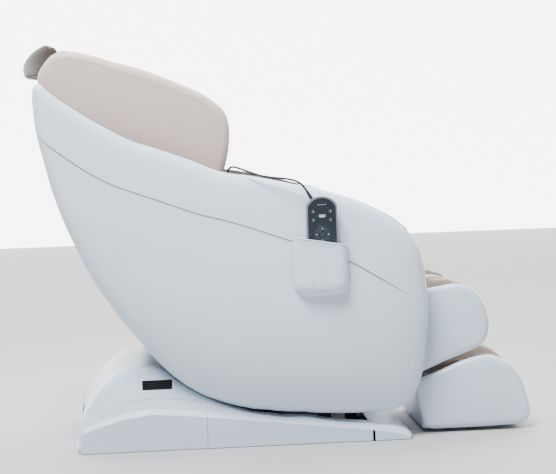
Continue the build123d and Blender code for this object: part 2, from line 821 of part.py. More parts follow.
def base_frame():
    """Welded floor frame with roller brackets, wheel pins and the actuator's foot plates."""
    low = floor_pad_thick
    high = low + floor_rail_height
    half = floor_rail_width / 2
    frame = slab((at(-545, 0)[0], -floor_rail_y - half, low), (at(235, 0)[0], -floor_rail_y + half, high))
    frame += mirrored(frame)
    for x in pad_places:
        place = at(x, 0)[0]
        frame += slab((place - half, -floor_rail_y, low), (place + half, floor_rail_y, low + cross_height))
    nose_x = at(290, 0)[0]
    frame += slab((at(230, 0)[0], -floor_rail_y, low), (nose_x, -floor_rail_y + half, low + cross_height))
    frame += slab((at(230, 0)[0], floor_rail_y - half, low), (nose_x, floor_rail_y, low + cross_height))
    for angle in (rear_roller, front_roller):
        bracket = roller_bracket(angle)
        frame += bracket + mirrored(bracket)
    frame += wheel_arm() + mirrored(wheel_arm())
    frame += drive_cheeks(tilt_drive_foot, tilt_drive_y, low + 2)
    reach = cheek_space + 3
    front_x = at(pad_places[-1], 0)[0]
    frame += slab((tilt_drive_foot[0] - 16, tilt_drive_y - reach, low), (front_x, tilt_drive_y + reach, low + 5))
    return frame


def roller_bracket(angle):
    middle = roller_middle(angle)
    y_in = rail_y + roller_width / 2 + 6
    plate = slab((middle.X - 20, -y_in - 8, floor_pad_thick + 2), (middle.X + 20, -y_in, middle.Z))
    plate += cross_cylinder(middle.X, middle.Z, 20, -y_in - 8, -y_in)
    tie = slab((middle.X - 20, -floor_rail_y, floor_pad_thick + 2), (middle.X + 20, -y_in, floor_pad_thick + 14))
    bore = cross_cylinder(middle.X, middle.Z, roller_shaft_radius + running_fit, -y_in - 10, -y_in + 2)
    return plate + tie - bore


def roller_middle(angle):
    return tilt_arc(rail_outer + rail_clearance + roller_radius, angle)


def guide_roller(angle):
    """One shaft right across, with a roller under each rail."""
    middle = roller_middle(angle)
    reach = rail_y + roller_width / 2 + 18
    shaft = cross_cylinder(middle.X, middle.Z, roller_shaft_radius, -reach, reach)
    for side in (-1, 1):
        y_low, y_high = sorted((side * (rail_y - roller_width / 2), side * (rail_y + roller_width / 2)))
        shaft += cross_cylinder(middle.X, middle.Z, roller_radius, y_low, y_high)
    return shaft


def wheel_arm():
    """A plate off the rear cross member with the wheel's pin."""
    x = at(wheel_x, 0)[0]
    z = wheel_radius + 2
    inner = -wheel_y + wheel_width / 2 + 1
    plate = slab((x - 12, inner, z - 12), (at(pad_places[0], 0)[0], inner + 6, z + 12))
    pin = cross_cylinder(x, z, wheel_pin_radius, -wheel_y - wheel_width / 2 - 2, inner + 1)
    return plate + pin


# Massage carriage ---------------------------------------------------------------

carriage_at = 250.0
roller_reach = 52.0
arm_pivot = 30.0
roller_pair = 70.0


def track_frame(along, forward, y):
    return Plane(origin=back_point(along, forward, y), x_dir=back_front, z_dir=back_dir)


def carriage():
    """The sliding motor block between the tracks, with guide shoes and the arms' shafts."""
    inner = track_y - track_thick / 2 - 1
    block = track_frame(carriage_at, -30, 0) * Box(24, 2 * inner - 44, 120)
    block += track_frame(carriage_at, 6, 0) * Box(64, 40, 36)
    for side in (-1, 1):
        for rise in (-44, 44):
            shoe_y = side * (inner - 12)
            block += track_frame(carriage_at + rise, -14, shoe_y) * Box(30, 24, 26)
    shaft = place_across(carriage_at, arm_pivot, 8, 2 * arm_y + arm_thick + 8)
    return block + shaft


arm_y = 58.0


def place_across(along, forward, radius, length, y=0.0):
    """A cylinder along Y, placed on the back track's own axes."""
    middle = back_point(along, forward, y)
    return cross_cylinder(middle.X, middle.Z, radius, y - length / 2, y + length / 2)


def roller_arm():
    """A rocker plate that carries an upper and a lower massage roller."""
    y = -arm_y
    plate = track_frame(carriage_at, arm_pivot, y) * Box(26, arm_thick, 2 * roller_pair)
    for rise in (-roller_pair, roller_pair):
        middle = back_point(carriage_at + rise, arm_pivot + 4, y)
        plate += cross_cylinder(middle.X, middle.Z, 15, y - arm_thick / 2, y + arm_thick / 2)
        plate += place_across(carriage_at + rise, arm_pivot + 4, massage_shaft_radius, 34, y + 17)
    hub = place_across(carriage_at, arm_pivot, 17, arm_thick, y)
    return plate + hub - place_across(carriage_at, arm_pivot, 8 + running_fit, arm_thick + 4, y)


def massage_roller(side, rise):
    """A ball-edged wheel beside the arm, on one of the arm's pins."""
    y = side * (arm_y - arm_thick / 2 - 1 - massage_roller_width / 2)
    along = carriage_at + rise * roller_pair
    ball = place_across(along, arm_pivot + 4, massage_roller_radius, massage_roller_width, y)
    ball = fillet(ball.edges().filter_by(GeomType.CIRCLE), 9)
    return ball - place_across(along, arm_pivot + 4, massage_shaft_radius + running_fit, 60, y)


# Remote control -----------------------------------------------------------------

remote_x = 107.0
remote_base_z = 484.0
pocket_left = 26.0
remote_back = -half_shell - 0.5 - pocket_wall - 0.8
remote_front = remote_back - remote_thick


def remote_outline(inset):
    """The remote's front view: straight sides, an arched top and a rounder bottom."""
    x = at(remote_x, 0)[0]
    z = at(0, remote_base_z)[1]
    half = remote_width / 2 - inset
    top = remote_height - inset
    points = [(x - half, z + 14 + inset), (x - half + 2, z + top - 26), (x - half + 16, z + top - 8), (x, z + top),
              (x + half - 16, z + top - 8), (x + half - 2, z + top - 26), (x + half, z + 14 + inset),
              (x + half - 4, z + 4 + inset), (x + half - 14, z + inset), (x - half + 14, z + inset),
              (x - half + 4, z + 4 + inset)]
    return points


def remote_plate(inset, y_back, y_front):
    points = [(px, y_back, pz) for px, pz in remote_outline(inset)]
    left = Line(points[0], points[1])
    right = Line(points[5], points[6])
    arch = Spline(*points[1:6])
    corner_right = ThreePointArc(points[6], points[7], points[8])
    corner_left = ThreePointArc(points[9], points[10], points[0])
    low = Line(points[8], points[9])
    face = make_face([left, arch, right, corner_right, low, corner_left])
    return extrude(face, amount=y_back - y_front, dir=(0, -1, 0))


face_depth = 2.0


def remote_housing():
    shell = remote_plate(0, remote_back, remote_front)
    tray = remote_plate(4, remote_front + face_depth + 0.1, remote_front - 1)
    return shell - tray - key_cuts(0.35, remote_front + 6)


def remote_face():
    plate = remote_plate(4.4, remote_front + face_depth, remote_front + 0.2)
    return plate - key_cuts(0.35, remote_front + 6)


key_radius = 6.0
ring_outer = 23.0
ring_inner = 10.0
centre_key = 8.6
key_proud = 0.8


def remote_place(across, up):
    return at(remote_x, 0)[0] + across, at(0, remote_base_z)[1] + up


key_layout = {"key_upper_left": (-24, 186), "key_upper_right": (24, 186),
              "key_middle_left": (-24, 162), "key_middle_right": (24, 162)}
ring_up = 122.0


def key_disc(across, up, radius, back, front):
    x, z = remote_place(across, up)
    return cross_cylinder(x, z, radius, front, back)


def key_cuts(gap, back):
    cuts = key_disc(0, ring_up, ring_outer + gap, back, remote_front - 2)
    for across, up in key_layout.values():
        cuts += key_disc(across, up, key_radius + gap, back, remote_front - 2)
    return cuts


def remote_key(across, up):
    key = key_disc(across, up, key_radius, remote_front + 4, remote_front - key_proud)
    return fillet(key.edges().filter_by(GeomType.CIRCLE), 0.5)


def remote_ring():
    ring = key_disc(0, ring_up, ring_outer, remote_front + 4, remote_front - key_proud)
    ring = fillet(ring.edges().filter_by(GeomType.CIRCLE), 0.5)
    return ring - key_disc(0, ring_up, ring_inner, remote_front + 8, remote_front - 5)


def remote_centre():
    key = key_disc(0, ring_up, centre_key, remote_front + 4, remote_front - key_proud)
    return fillet(key.edges().filter_by(GeomType.CIRCLE), 0.5)


def remote_pocket():
    """A pouch on the arm's flank, hung by a strap that goes over the arm."""
    left, low = at(pocket_left, 436)
    right = left + pocket_width
    back = -half_shell - 0.5
    outer = remote_front - 1.2 - pocket_wall
    mouth_left, mouth_right = at(0, 599)[1], at(0, 573)[1]
    corners = [(left, back, low + 16), (left + 12, back, low), (right - 12, back, low - 6),
               (right, back, low + 8), (right, back, mouth_right), (left, back, mouth_left)]
    block = extrude(make_face(Polyline(*corners, close=True)), amount=back - outer, dir=(0, -1, 0))
    inner = slab((left + 22, outer + pocket_wall, remote_low() - 1), (right - 22, back - pocket_wall, mouth_left + 50))
    pouch = block - inner
    strap_low = at(0, 560)[1]
    strap_box = slab((left + 26, -half_shell - 8, strap_low), (right - 26, -rim_inner, 2000))
    strap = (side_form(pocket_wall + 0.5) - side_form(0.5)) & strap_box
    return pouch + strap


def remote_low():
    return at(0, remote_base_z)[1]


# The remote's cord: gland in the forearm channel, up over the arm, down to the remote

cord_gland_at = Vector(at(-290, 0)[0], -channel_outer, at(0, 602)[1])
cord_points = [
    (-290, -330, 602), (-289, -314, 602), (-277, -300, 598), (-255, -292, 592), (-227, -289, 589.5),
    (-198, -288, 589.5), (-170, -291, 591), (-148, -296, 600), (-134, -301, 619), (-129, -304, 645),
    (-130, -306, 675), (-134, -307, 705), (-140, -308, 735), (-147, -310, 765), (-149, -316, 789),
    (-138, -332, 803), (-116, -349, 797), (-88, -361, 785), (-56, -370, 774), (-24, -376, 768),
    (8, -383, 765), (36, -390, 759), (57, -394.5, 746), (67, -395, 729),
]


def cord_path():
    points = [Vector(x * stretch_x, y, z * stretch_z) for x, y, z in cord_points]
    radii = []
    for before, here, after in zip(points, points[1:], points[2:]):
        first, second = here - before, after - here
        turn = radians(first.get_angle(second))
        shorter = min(first.length, second.length)
        radii.append(0.45 * shorter * cos(turn / 2) / sin(turn / 2))
    print("cord radii", [round(radius) for radius in radii])
    print("cord runs", [round((b - a).length) for a, b in zip(points, points[1:])])
    return FilletPolyline(*points, radius=radii)


def remote_cord():
    path = cord_path()
    section = Plane(origin=path @ 0, z_dir=path % 0) * Circle(cord_diameter / 2)
    cord = sweep(section, path=path)
    area = 3.14159265 * cord_diameter ** 2 / 4
    print("cord length", round(path.length), "volume ratio", round(cord.volume / (area * path.length), 4))
    return cord


def cone_between(start, end, first_radius, last_radius):
    along = end - start
    middle = (start + end) * 0.5
    return Plane(origin=middle, z_dir=along.normalized()) * Cone(first_radius, last_radius, along.length)


def cord_gland():
    """A collar on the forearm channel's outer lining."""
    start = cord_gland_at + Vector(0, 0.5, 0)
    tip = Vector(cord_points[0][0] * stretch_x, cord_points[0][1], cord_points[0][2] * stretch_z)
    base = cone_between(start, start + Vector(0, 4, 0), 12, 10)
    return base + cone_between(start + Vector(0, 3.5, 0), tip, 8, 4.2)


def strain_relief():
    """The tapered sleeve where the cord enters the top of the remote."""
    last = Vector(cord_points[-1][0] * stretch_x, cord_points[-1][1], cord_points[-1][2] * stretch_z)
    before = Vector(cord_points[-2][0] * stretch_x, cord_points[-2][1], cord_points[-2][2] * stretch_z)
    along = (last - before).normalized()
    root = last + along * 26
    return cone_between(root, last, 5.5, 4.0)


def build():
    os.makedirs("parts", exist_ok=True)
    skin = side_shell_skin()
    lower, upper = side_pieces(skin)
    node("side_shell_right", lower)
    node("side_shell_left", mirrored(lower))
    node("arm_panel_right", upper)
    node("arm_panel_left", mirrored(upper))
    pad = arm_pad()
    node("arm_pad_right", pad)
    node("arm_pad_left", mirrored(pad))
    node("back_cover", back_cover())
    node("seat_frame", seat_frame())
    node("rocker_rail_right", rail())
    node("rocker_rail_left", mirrored(rail()))
    node("roller_track_right", roller_track())
    node("roller_track_left", mirrored(roller_track()))
    node("seat_cushion", seat_cushion())
    node("back_cushion", back_cushion())
    node("head_pillow", head_pillow())
    wing = hood_side()
    node("hood_side_right", wing)
    node("hood_side_left", mirrored(wing))
    node("hood_back", hood_back())
    node("calf_housing", calf_housing())
    node("calf_frame", calf_frame())
    node("calf_pad", calf_pad())
    node("foot_housing", foot_housing())
    node("foot_slides", foot_slides())
    node("foot_pad", foot_pad())
    tilt_body = drive_body(tilt_drive_foot, tilt_rod_end, tilt_drive_y, tilt_body_length)
    node("tilt_motor", drive_pin_hole(tilt_body, tilt_drive_foot, tilt_drive_y))
    node("tilt_rod", drive_rod(tilt_drive_foot, tilt_rod_end, tilt_drive_y, bore_start + tilt_stroke + 5))
    leg_body = drive_body(leg_drive_foot, leg_rod_end, leg_drive_y, leg_body_length)
    node("leg_motor", drive_pin_hole(leg_body, leg_drive_foot, leg_drive_y))
    node("leg_rod", drive_rod(leg_drive_foot, leg_rod_end, leg_drive_y, bore_start + 5))
    rear, right, nose = base_covers()
    node("base_cover_rear", rear)
    node("base_cover_right", right)
    node("base_cover_left", mirrored(right))
    node("base_cover_nose", nose)
    node("vent_grille", vent_grille())
    node("power_inlet", power_inlet())
    node("power_switch", power_switch())
    node("transport_wheel_right", transport_wheel())
    node("transport_wheel_left", mirrored(transport_wheel()))
    node("floor_pads", floor_pads())
    node("base_frame", base_frame())
    node("guide_roller_rear", guide_roller(rear_roller))
    node("guide_roller_front", guide_roller(front_roller))
    node("massage_carriage", carriage())
    node("roller_arm_right", roller_arm())
    node("roller_arm_left", mirrored(roller_arm()))
    for name, side in (("right", -1), ("left", 1)):
        node("massage_roller_upper_" + name, massage_roller(side, 1))
        node("massage_roller_lower_" + name, massage_roller(side, -1))
    node("remote_housing", remote_housing())
    node("remote_face", remote_face())
    node("remote_ring", remote_ring())
    node("remote_centre_key", remote_centre())
    for name, (across, up) in key_layout.items():
        node(name, remote_key(across, up))
    node("remote_pocket", remote_pocket())
    node("cord_gland", cord_gland())
    node("strain_relief", strain_relief())
    node("remote_cord", remote_cord())


build()
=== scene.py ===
import bmesh
import bpy
import json
import math
import numpy as np
from mathutils import Matrix, Vector
from mathutils.bvhtree import BVHTree
from mathutils.geometry import delaunay_2d_cdt


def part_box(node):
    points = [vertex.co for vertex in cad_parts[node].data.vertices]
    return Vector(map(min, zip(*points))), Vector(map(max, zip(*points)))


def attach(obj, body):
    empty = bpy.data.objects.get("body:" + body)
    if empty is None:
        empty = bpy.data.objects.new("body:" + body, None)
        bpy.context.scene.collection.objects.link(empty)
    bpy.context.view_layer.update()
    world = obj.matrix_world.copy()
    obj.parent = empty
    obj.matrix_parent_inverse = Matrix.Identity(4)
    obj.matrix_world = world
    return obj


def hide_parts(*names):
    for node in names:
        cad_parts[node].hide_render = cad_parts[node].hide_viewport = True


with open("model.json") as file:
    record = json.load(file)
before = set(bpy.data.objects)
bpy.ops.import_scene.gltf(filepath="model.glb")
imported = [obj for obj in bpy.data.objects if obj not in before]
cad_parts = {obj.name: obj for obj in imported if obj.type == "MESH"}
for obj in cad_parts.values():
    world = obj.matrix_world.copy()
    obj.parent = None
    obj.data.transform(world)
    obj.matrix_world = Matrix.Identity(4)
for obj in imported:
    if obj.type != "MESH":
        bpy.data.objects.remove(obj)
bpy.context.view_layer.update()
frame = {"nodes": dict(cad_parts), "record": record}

nodes = frame["nodes"]
mm = 0.001
sides = {"right": -1, "left": 1}

# Camera and light; the floor is made after the finishes

cameraValues = {"place": (-0.394, -5.184, 0.905), "turn": -4.5, "pitch": 3.6, "roll": 1.9, "lens": 111.7}


def makeCamera(values):
    turn, pitch, roll = (math.radians(values[key]) for key in ("turn", "pitch", "roll"))
    ahead = Vector((-math.sin(turn) * math.cos(pitch), math.cos(turn) * math.cos(pitch), -math.sin(pitch)))
    across = Vector((math.cos(turn), math.sin(turn), 0))
    up = across.cross(ahead)
    tiltedAcross = across * math.cos(roll) - up * math.sin(roll)
    tiltedUp = across * math.sin(roll) + up * math.cos(roll)
    camera = bpy.data.objects.new("camera", bpy.data.cameras.new("camera"))
    camera.data.lens = values["lens"]
    camera.data.sensor_width = 36
    axes = Matrix((tiltedAcross, tiltedUp, -ahead)).transposed()
    camera.matrix_world = Matrix.Translation(values["place"]) @ axes.to_4x4()
    bpy.context.collection.objects.link(camera)
    bpy.context.scene.camera = camera


makeCamera(cameraValues)

lightValues = {
    "world": 0.30,
    "key": {"place": (-1.3, -2.5, 5.2), "size": 2.2, "power": 820},
    "fill": {"place": (3.4, -3.6, 2.8), "size": 3.0, "power": 30},
    "top": {"place": (0.2, 1.6, 4.8), "size": 4.0, "power": 260},
}


def makeLight(name, values):
    light = bpy.data.lights.new(name, "AREA")
    light.shape = "SQUARE"
    light.size = values["size"]
    light.energy = values["power"]
    lamp = bpy.data.objects.new(name, light)
    direction = Vector((0, 0, 0.55)) - Vector(values["place"])
    lamp.matrix_world = Matrix.Translation(values["place"]) @ direction.to_track_quat("-Z", "Y").to_matrix().to_4x4()
    bpy.context.collection.objects.link(lamp)


for lightName in ("key", "fill", "top"):
    makeLight(lightName + "_light", lightValues[lightName])

world = bpy.data.worlds.new("studio")
bpy.context.scene.world = world
world.use_nodes = True
world.node_tree.nodes["Background"].inputs["Color"].default_value = (1, 1, 1, 1)
world.node_tree.nodes["Background"].inputs["Strength"].default_value = lightValues["world"]
print("camera and light are in place")

# Finishes. Sizes in metres, patterns on object coordinates.

finishValues = {
    "shell_white": {"colour": (0.640, 0.730, 0.850), "vary": 0.02, "rough": 0.42, "grain": 620, "bump": 0.10, "coat": 0.10},
    "hood_beige": {"colour": (0.560, 0.460, 0.420), "vary": 0.03, "rough": 0.50, "grain": 560, "bump": 0.20, "sheen": 0.15},
    "seat_brown": {"colour": (0.046, 0.031, 0.024), "vary": 0.10, "rough": 0.50, "grain": 480, "bump": 0.30, "sheen": 0.02},
    "pad_taupe": {"colour": (0.290, 0.230, 0.190), "vary": 0.06, "rough": 0.52, "grain": 500, "bump": 0.28, "sheen": 0.10},
    "leg_white": {"colour": (0.560, 0.660, 0.780), "vary": 0.02, "rough": 0.34, "grain": 900, "bump": 0.04, "coat": 0.25},
    "base_white": {"colour": (0.500, 0.600, 0.700), "vary": 0.03, "rough": 0.46, "grain": 1300, "bump": 0.14, "coat": 0.05},
    "vent_dark": {"colour": (0.020, 0.027, 0.034), "vary": 0.08, "rough": 0.55, "grain": 1200, "bump": 0.12},
    "frame_black": {"colour": (0.022, 0.022, 0.024), "vary": 0.12, "rough": 0.50, "grain": 1500, "bump": 0.20, "metal": 0.3},
    "rail_steel": {"colour": (0.560, 0.570, 0.580), "vary": 0.08, "rough": 0.32, "grain": 700, "bump": 0.10, "metal": 1.0,
                   "stretch": (0.05, 1, 1)},
    "drive_grey": {"colour": (0.050, 0.054, 0.058), "vary": 0.08, "rough": 0.50, "grain": 1200, "bump": 0.16},
    "rubber_black": {"colour": (0.014, 0.014, 0.016), "vary": 0.15, "rough": 0.62, "grain": 1000, "bump": 0.15},
    "roller_amber": {"colour": (0.240, 0.115, 0.050), "vary": 0.06, "rough": 0.36, "grain": 600, "bump": 0.05},
    "remote_grey": {"colour": (0.150, 0.178, 0.205), "vary": 0.05, "rough": 0.40, "grain": 1500, "bump": 0.10},
    "remote_navy": {"colour": (0.012, 0.019, 0.028), "vary": 0.05, "rough": 0.16, "grain": 900, "bump": 0.02, "coat": 0.5},
    "key_navy": {"colour": (0.022, 0.034, 0.048), "vary": 0.05, "rough": 0.30, "grain": 1500, "bump": 0.06},
    "print_grey": {"colour": (0.420, 0.450, 0.480), "vary": 0.03, "rough": 0.50, "grain": 1500, "bump": 0.03},
    "piping_grey": {"colour": (0.150, 0.140, 0.135), "vary": 0.08, "rough": 0.50, "grain": 900, "bump": 0.15},
    "thread_pale": {"colour": (0.500, 0.520, 0.540), "vary": 0.06, "rough": 0.60, "grain": 2500, "bump": 0.30},
    "thread_brown": {"colour": (0.130, 0.085, 0.060), "vary": 0.08, "rough": 0.60, "grain": 2500, "bump": 0.30},
    "floor_pale": {"colour": (0.400, 0.402, 0.405), "vary": 0.005, "rough": 0.85, "grain": 60, "bump": 0.01},
}


def makeFinish(name, values):
    material = bpy.data.materials.new(name)
    material.use_nodes = True
    tree = material.node_tree
    tree.nodes.clear()

    def add(kind, **sockets):
        made = tree.nodes.new(kind)
        for key, value in sockets.items():
            made.inputs[key.replace("_", " ")].default_value = value
        return made

    def join(source, outlet, target, inlet):
        tree.links.new(source.outputs[outlet], target.inputs[inlet])

    output = add("ShaderNodeOutputMaterial")
    shader = add("ShaderNodeBsdfPrincipled", Metallic=values.get("metal", 0.0))
    shader.inputs["Coat Weight"].default_value = values.get("coat", 0.0)
    shader.inputs["Coat Roughness"].default_value = 0.25
    shader.inputs["Sheen Weight"].default_value = values.get("sheen", 0.0)
    join(shader, "BSDF", output, "Surface")
    place = add("ShaderNodeTexCoord")
    mapping = add("ShaderNodeMapping")
    mapping.inputs["Scale"].default_value = values.get("stretch", (1, 1, 1))
    join(place, "Object", mapping, "Vector")
    broad = add("ShaderNodeTexNoise", Scale=7.0, Detail=3.0)
    join(mapping, "Vector", broad, "Vector")
    fine = add("ShaderNodeTexVoronoi", Scale=values["grain"])
    join(mapping, "Vector", fine, "Vector")
    soft = add("ShaderNodeTexNoise", Scale=values["grain"] * 0.25, Detail=4.0)
    join(mapping, "Vector", soft, "Vector")

    base = Vector(values["colour"])
    tone = add("ShaderNodeValToRGB")
    tone.color_ramp.elements[0].position = 0.3
    tone.color_ramp.elements[1].position = 0.7
    tone.color_ramp.elements[0].color = (*(base * (1 - values["vary"])), 1)
    tone.color_ramp.elements[1].color = (*(base * (1 + values["vary"] * 0.5)), 1)
    join(broad, "Fac", tone, "Fac")
    # Painted shade: the crease attribute darkens the colour towards a third of it in pad creases, where shadow would
    # fall.
    crease = add("ShaderNodeAttribute")
    crease.attribute_name = "crease"
    shade = add("ShaderNodeMix")
    shade.data_type = "RGBA"
    shade.inputs["B"].default_value = (*(base * 0.34), 1)
    tree.links.new(crease.outputs["Fac"], shade.inputs["Factor"])
    tree.links.new(tone.outputs["Color"], shade.inputs["A"])
    tree.links.new(shade.outputs["Result"], shader.inputs["Base Color"])

    rough = add("ShaderNodeMapRange")
    rough.inputs["To Min"].default_value = values["rough"] - 0.05
    rough.inputs["To Max"].default_value = values["rough"] + 0.06
    join(soft, "Fac", rough, "Value")
    join(rough, "Result", shader, "Roughness")
    height = add("ShaderNodeMath")
    height.operation = "MULTIPLY"
    join(fine, "Distance", height, 0)
    join(soft, "Fac", height, 1)
    bump = add("ShaderNodeBump", Strength=values["bump"], Distance=0.0006)
    join(height, "Value", bump, "Height")
    join(bump, "Normal", shader, "Normal")
    return material


finishes = {name: makeFinish(name, values) for name, values in finishValues.items()}

for row in frame["record"]["subparts"]:
    solid = nodes[row["node"]]
    solid.data.materials.clear()
    solid.data.materials.append(finishes[row["material_slot"]])

floorValues = {"half": 14.0, "backdrop": 9.0, "glow": 6.0}
floorMesh = bpy.data.meshes.new("floor")
half = floorValues["half"]
floorMesh.from_pydata([(-half, -half, 0), (half, -half, 0), (half, half, 0), (-half, half, 0)], [], [(0, 1, 2, 3)])
floor = bpy.data.objects.new("floor", floorMesh)
floor.data.materials.append(finishes["floor_pale"])
bpy.context.collection.objects.link(floor)
backdropMesh = bpy.data.meshes.new("backdrop")
far = floorValues["backdrop"]
backdropMesh.from_pydata([(-half, far, -0.5), (half, far, -0.5), (half, far, half), (-half, far, half)], [], [(0, 1, 2, 3)])
backdrop = bpy.data.objects.new("backdrop", backdropMesh)
backdropFinish = bpy.data.materials.new("backdrop_glow")
backdropFinish.use_nodes = True
backdropShader = backdropFinish.node_tree.nodes["Principled BSDF"]
backdropShader.inputs["Emission Color"].default_value = (1, 1, 1, 1)
backdropShader.inputs["Emission Strength"].default_value = floorValues["glow"]
backdrop.data.materials.append(backdropFinish)
bpy.context.collection.objects.link(backdrop)
print("finishes are made")

# The remote's cord, one spline

cordValues = {"diameter": 0.006, "length": 0.621}
cordPoints = [
    (-290, -330, 602), (-289, -314, 602), (-277, -300, 598), (-255, -292, 592), (-227, -289, 589.5),
    (-198, -288, 589.5), (-170, -291, 591), (-148, -296, 600), (-134, -301, 619), (-129, -304, 645),
    (-130, -306, 675), (-134, -307, 705), (-140, -308, 735), (-147, -310, 765), (-149, -316, 789),
    (-138, -332, 803), (-116, -349, 797), (-88, -361, 785), (-56, -370, 774), (-24, -376, 768),
    (8, -383, 765), (36, -390, 759), (57, -394.5, 746), (67, -395, 729),
]
cordCurve = bpy.data.curves.new("remoteCord", "CURVE")
cordCurve.dimensions = "3D"
cordSpline = cordCurve.splines.new("NURBS")
cordSpline.points.add(len(cordPoints) - 1)
for point, (x, y, z) in zip(cordSpline.points, cordPoints):
    point.co = (x * mm, y * mm, z * mm, 1)
cordSpline.order_u = 3
cordSpline.use_endpoint_u = True
cordSpline.resolution_u = 10
cordCurve.bevel_depth = cordValues["diameter"] / 2
cordCurve.bevel_resolution = 5
cordCurve.use_fill_caps = True
remoteCord = bpy.data.objects.new("remoteCord", cordCurve)
bpy.context.collection.objects.link(remoteCord)
cordCurve.materials.append(finishes["rubber_black"])
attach(remoteCord, "seat_module")
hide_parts("remote_cord")
print("the cord is laid")

# Mesh tools


def addPiece(name, vertices, faces, angle=35):
    mesh = bpy.data.meshes.new(name)
    mesh.from_pydata([tuple(v) for v in vertices], [], faces)
    work = bmesh.new()
    work.from_mesh(mesh)
    bmesh.ops.remove_doubles(work, verts=work.verts, dist=0.00001)
    bmesh.ops.recalc_face_normals(work, faces=work.faces)
    work.to_mesh(mesh)
    work.free()
    made = bpy.data.objects.new(name, mesh)
    bpy.context.collection.objects.link(made)
    shadeSmooth(made, angle)
    return made


def shadeSmooth(piece, angle):
    piece.data.shade_smooth()
    piece.data.set_sharp_from_angle(angle=math.radians(angle))


def applyModifiers(piece, angle=35):
    seen = piece.evaluated_get(bpy.context.evaluated_depsgraph_get())
    mesh = bpy.data.meshes.new_from_object(seen)
    piece.modifiers.clear()
    mesh.name = piece.name
    piece.data = mesh
    shadeSmooth(piece, angle)


def finishPiece(piece, body, slot, finish=None, stands=(), fill=None):
    piece.data.materials.clear()
    piece.data.materials.append(finishes[finish or slot])
    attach(piece, body)
    if stands:
        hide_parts(*stands)
    return piece


def joinPieces(name, pieces):
    work = bmesh.new()
    for piece in pieces:
        work.from_mesh(piece.data)
        bpy.data.objects.remove(piece)
    mesh = bpy.data.meshes.new(name)
    work.to_mesh(mesh)
    work.free()
    made = bpy.data.objects.new(name, mesh)
    bpy.context.collection.objects.link(made)
    shadeSmooth(made, 35)
    return made


def smoothLine(points, closed, step):
    # A centripetal spline through the points, resampled evenly.
    given = [Vector(p) for p in points]
    count = len(given)
    dense = []
    for index in range(count if closed else count - 1):
        picks = [index + k for k in (-1, 0, 1, 2)]
        if closed:
            p0, p1, p2, p3 = (given[k % count] for k in picks)
        else:
            p0, p1, p2, p3 = (given[min(max(k, 0), count - 1)] for k in picks)
        d0, d1, d2 = (max((b - a).length, 1e-6) ** 0.5 for a, b in ((p0, p1), (p1, p2), (p2, p3)))
        if (p1 - p0).length < 1e-6:
            d0 = d1
        if (p3 - p2).length < 1e-6:
            d2 = d1
        m1 = d1 * ((p1 - p0) / d0 - (p2 - p0) / (d0 + d1) + (p2 - p1) / d1)
        m2 = d1 * ((p2 - p1) / d1 - (p3 - p1) / (d1 + d2) + (p3 - p2) / d2)
        for k in range(16):
            t = k / 16
            dense.append(p1 * (2 * t ** 3 - 3 * t ** 2 + 1) + m1 * (t ** 3 - 2 * t ** 2 + t)
                         + p2 * (3 * t ** 2 - 2 * t ** 3) + m2 * (t ** 3 - t ** 2))
    dense.append(given[0] if closed else given[-1])
    lengths = [0.0]
    for a, b in zip(dense, dense[1:]):
        lengths.append(lengths[-1] + (b - a).length)
    total = lengths[-1]
    steps = max(int(round(total / step)), 3)
    result, at = [], 0
    for k in range(steps if closed else steps + 1):
        goal = total * k / steps
        while at < len(lengths) - 2 and lengths[at + 1] < goal:
            at += 1
        span = max(lengths[at + 1] - lengths[at], 1e-9)
        result.append(dense[at].lerp(dense[at + 1], (goal - lengths[at]) / span))
    return result


def bow(value):
    value = min(max(value, 0.0), 1.0)
    return math.sqrt(1 - (1 - value) ** 2)


def easeStep(low, high, value):
    t = min(max((value - low) / (high - low), 0.0), 1.0)
    return t * t * (3 - 2 * t)


def loopDistance(loop, spots):
    a = np.array([tuple(p) for p in loop])
    b = np.roll(a, -1, axis=0)
    run = b - a
    result = np.full(len(spots), 1e9)
    for start in range(0, len(spots), 2000):
        part = spots[start:start + 2000]
        gap = part[:, None, :] - a[None, :, :]
        t = np.clip((gap * run).sum(2) / np.maximum((run * run).sum(1), 1e-12), 0, 1)
        near = gap - t[:, :, None] * run[None, :, :]
        result[start:start + 2000] = np.sqrt((near * near).sum(2).min(1))
    return result


def insideLoop(loop, spots):
    a = np.array([tuple(p) for p in loop])
    b = np.roll(a, -1, axis=0)
    crossings = np.zeros(len(spots), dtype=int)
    for (x1, z1), (x2, z2) in zip(a, b):
        if z1 == z2:
            continue
        between = (spots[:, 1] >= min(z1, z2)) & (spots[:, 1] < max(z1, z2))
        x = x1 + (spots[:, 1] - z1) * (x2 - x1) / (z2 - z1)
        crossings += between & (spots[:, 0] < x)
    return crossings % 2 == 1


def membrane(loop, cell):
    # The height of an evenly inflated sheet held at the loop, 0 to 1, as a grid to read from.
    a = np.array([tuple(p) for p in loop])
    low = a.min(0) - 2 * cell
    size = np.ceil((a.max(0) + 2 * cell - low) / cell).astype(int)
    gx, gz = np.meshgrid(low[0] + cell * np.arange(size[0]), low[1] + cell * np.arange(size[1]), indexing="ij")
    mask = insideLoop(loop, np.stack([gx.ravel(), gz.ravel()], 1)).reshape(gx.shape)
    height = np.zeros(gx.shape)
    for _ in range(int(1.5 * max(size)) * 12):
        around = height[:-2, 1:-1] + height[2:, 1:-1] + height[1:-1, :-2] + height[1:-1, 2:]
        height[1:-1, 1:-1] = (around + 1) / 4 * mask[1:-1, 1:-1]
    height /= height.max()

    def read(x, z):
        i, j = (x - low[0]) / cell, (z - low[1]) / cell
        i0, j0 = int(i), int(j)
        i0, j0 = min(max(i0, 0), size[0] - 2), min(max(j0, 0), size[1] - 2)
        s, t = i - i0, j - j0
        return ((height[i0, j0] * (1 - s) + height[i0 + 1, j0] * s) * (1 - t)
                + (height[i0, j0 + 1] * (1 - s) + height[i0 + 1, j0 + 1] * s) * t)
    return read


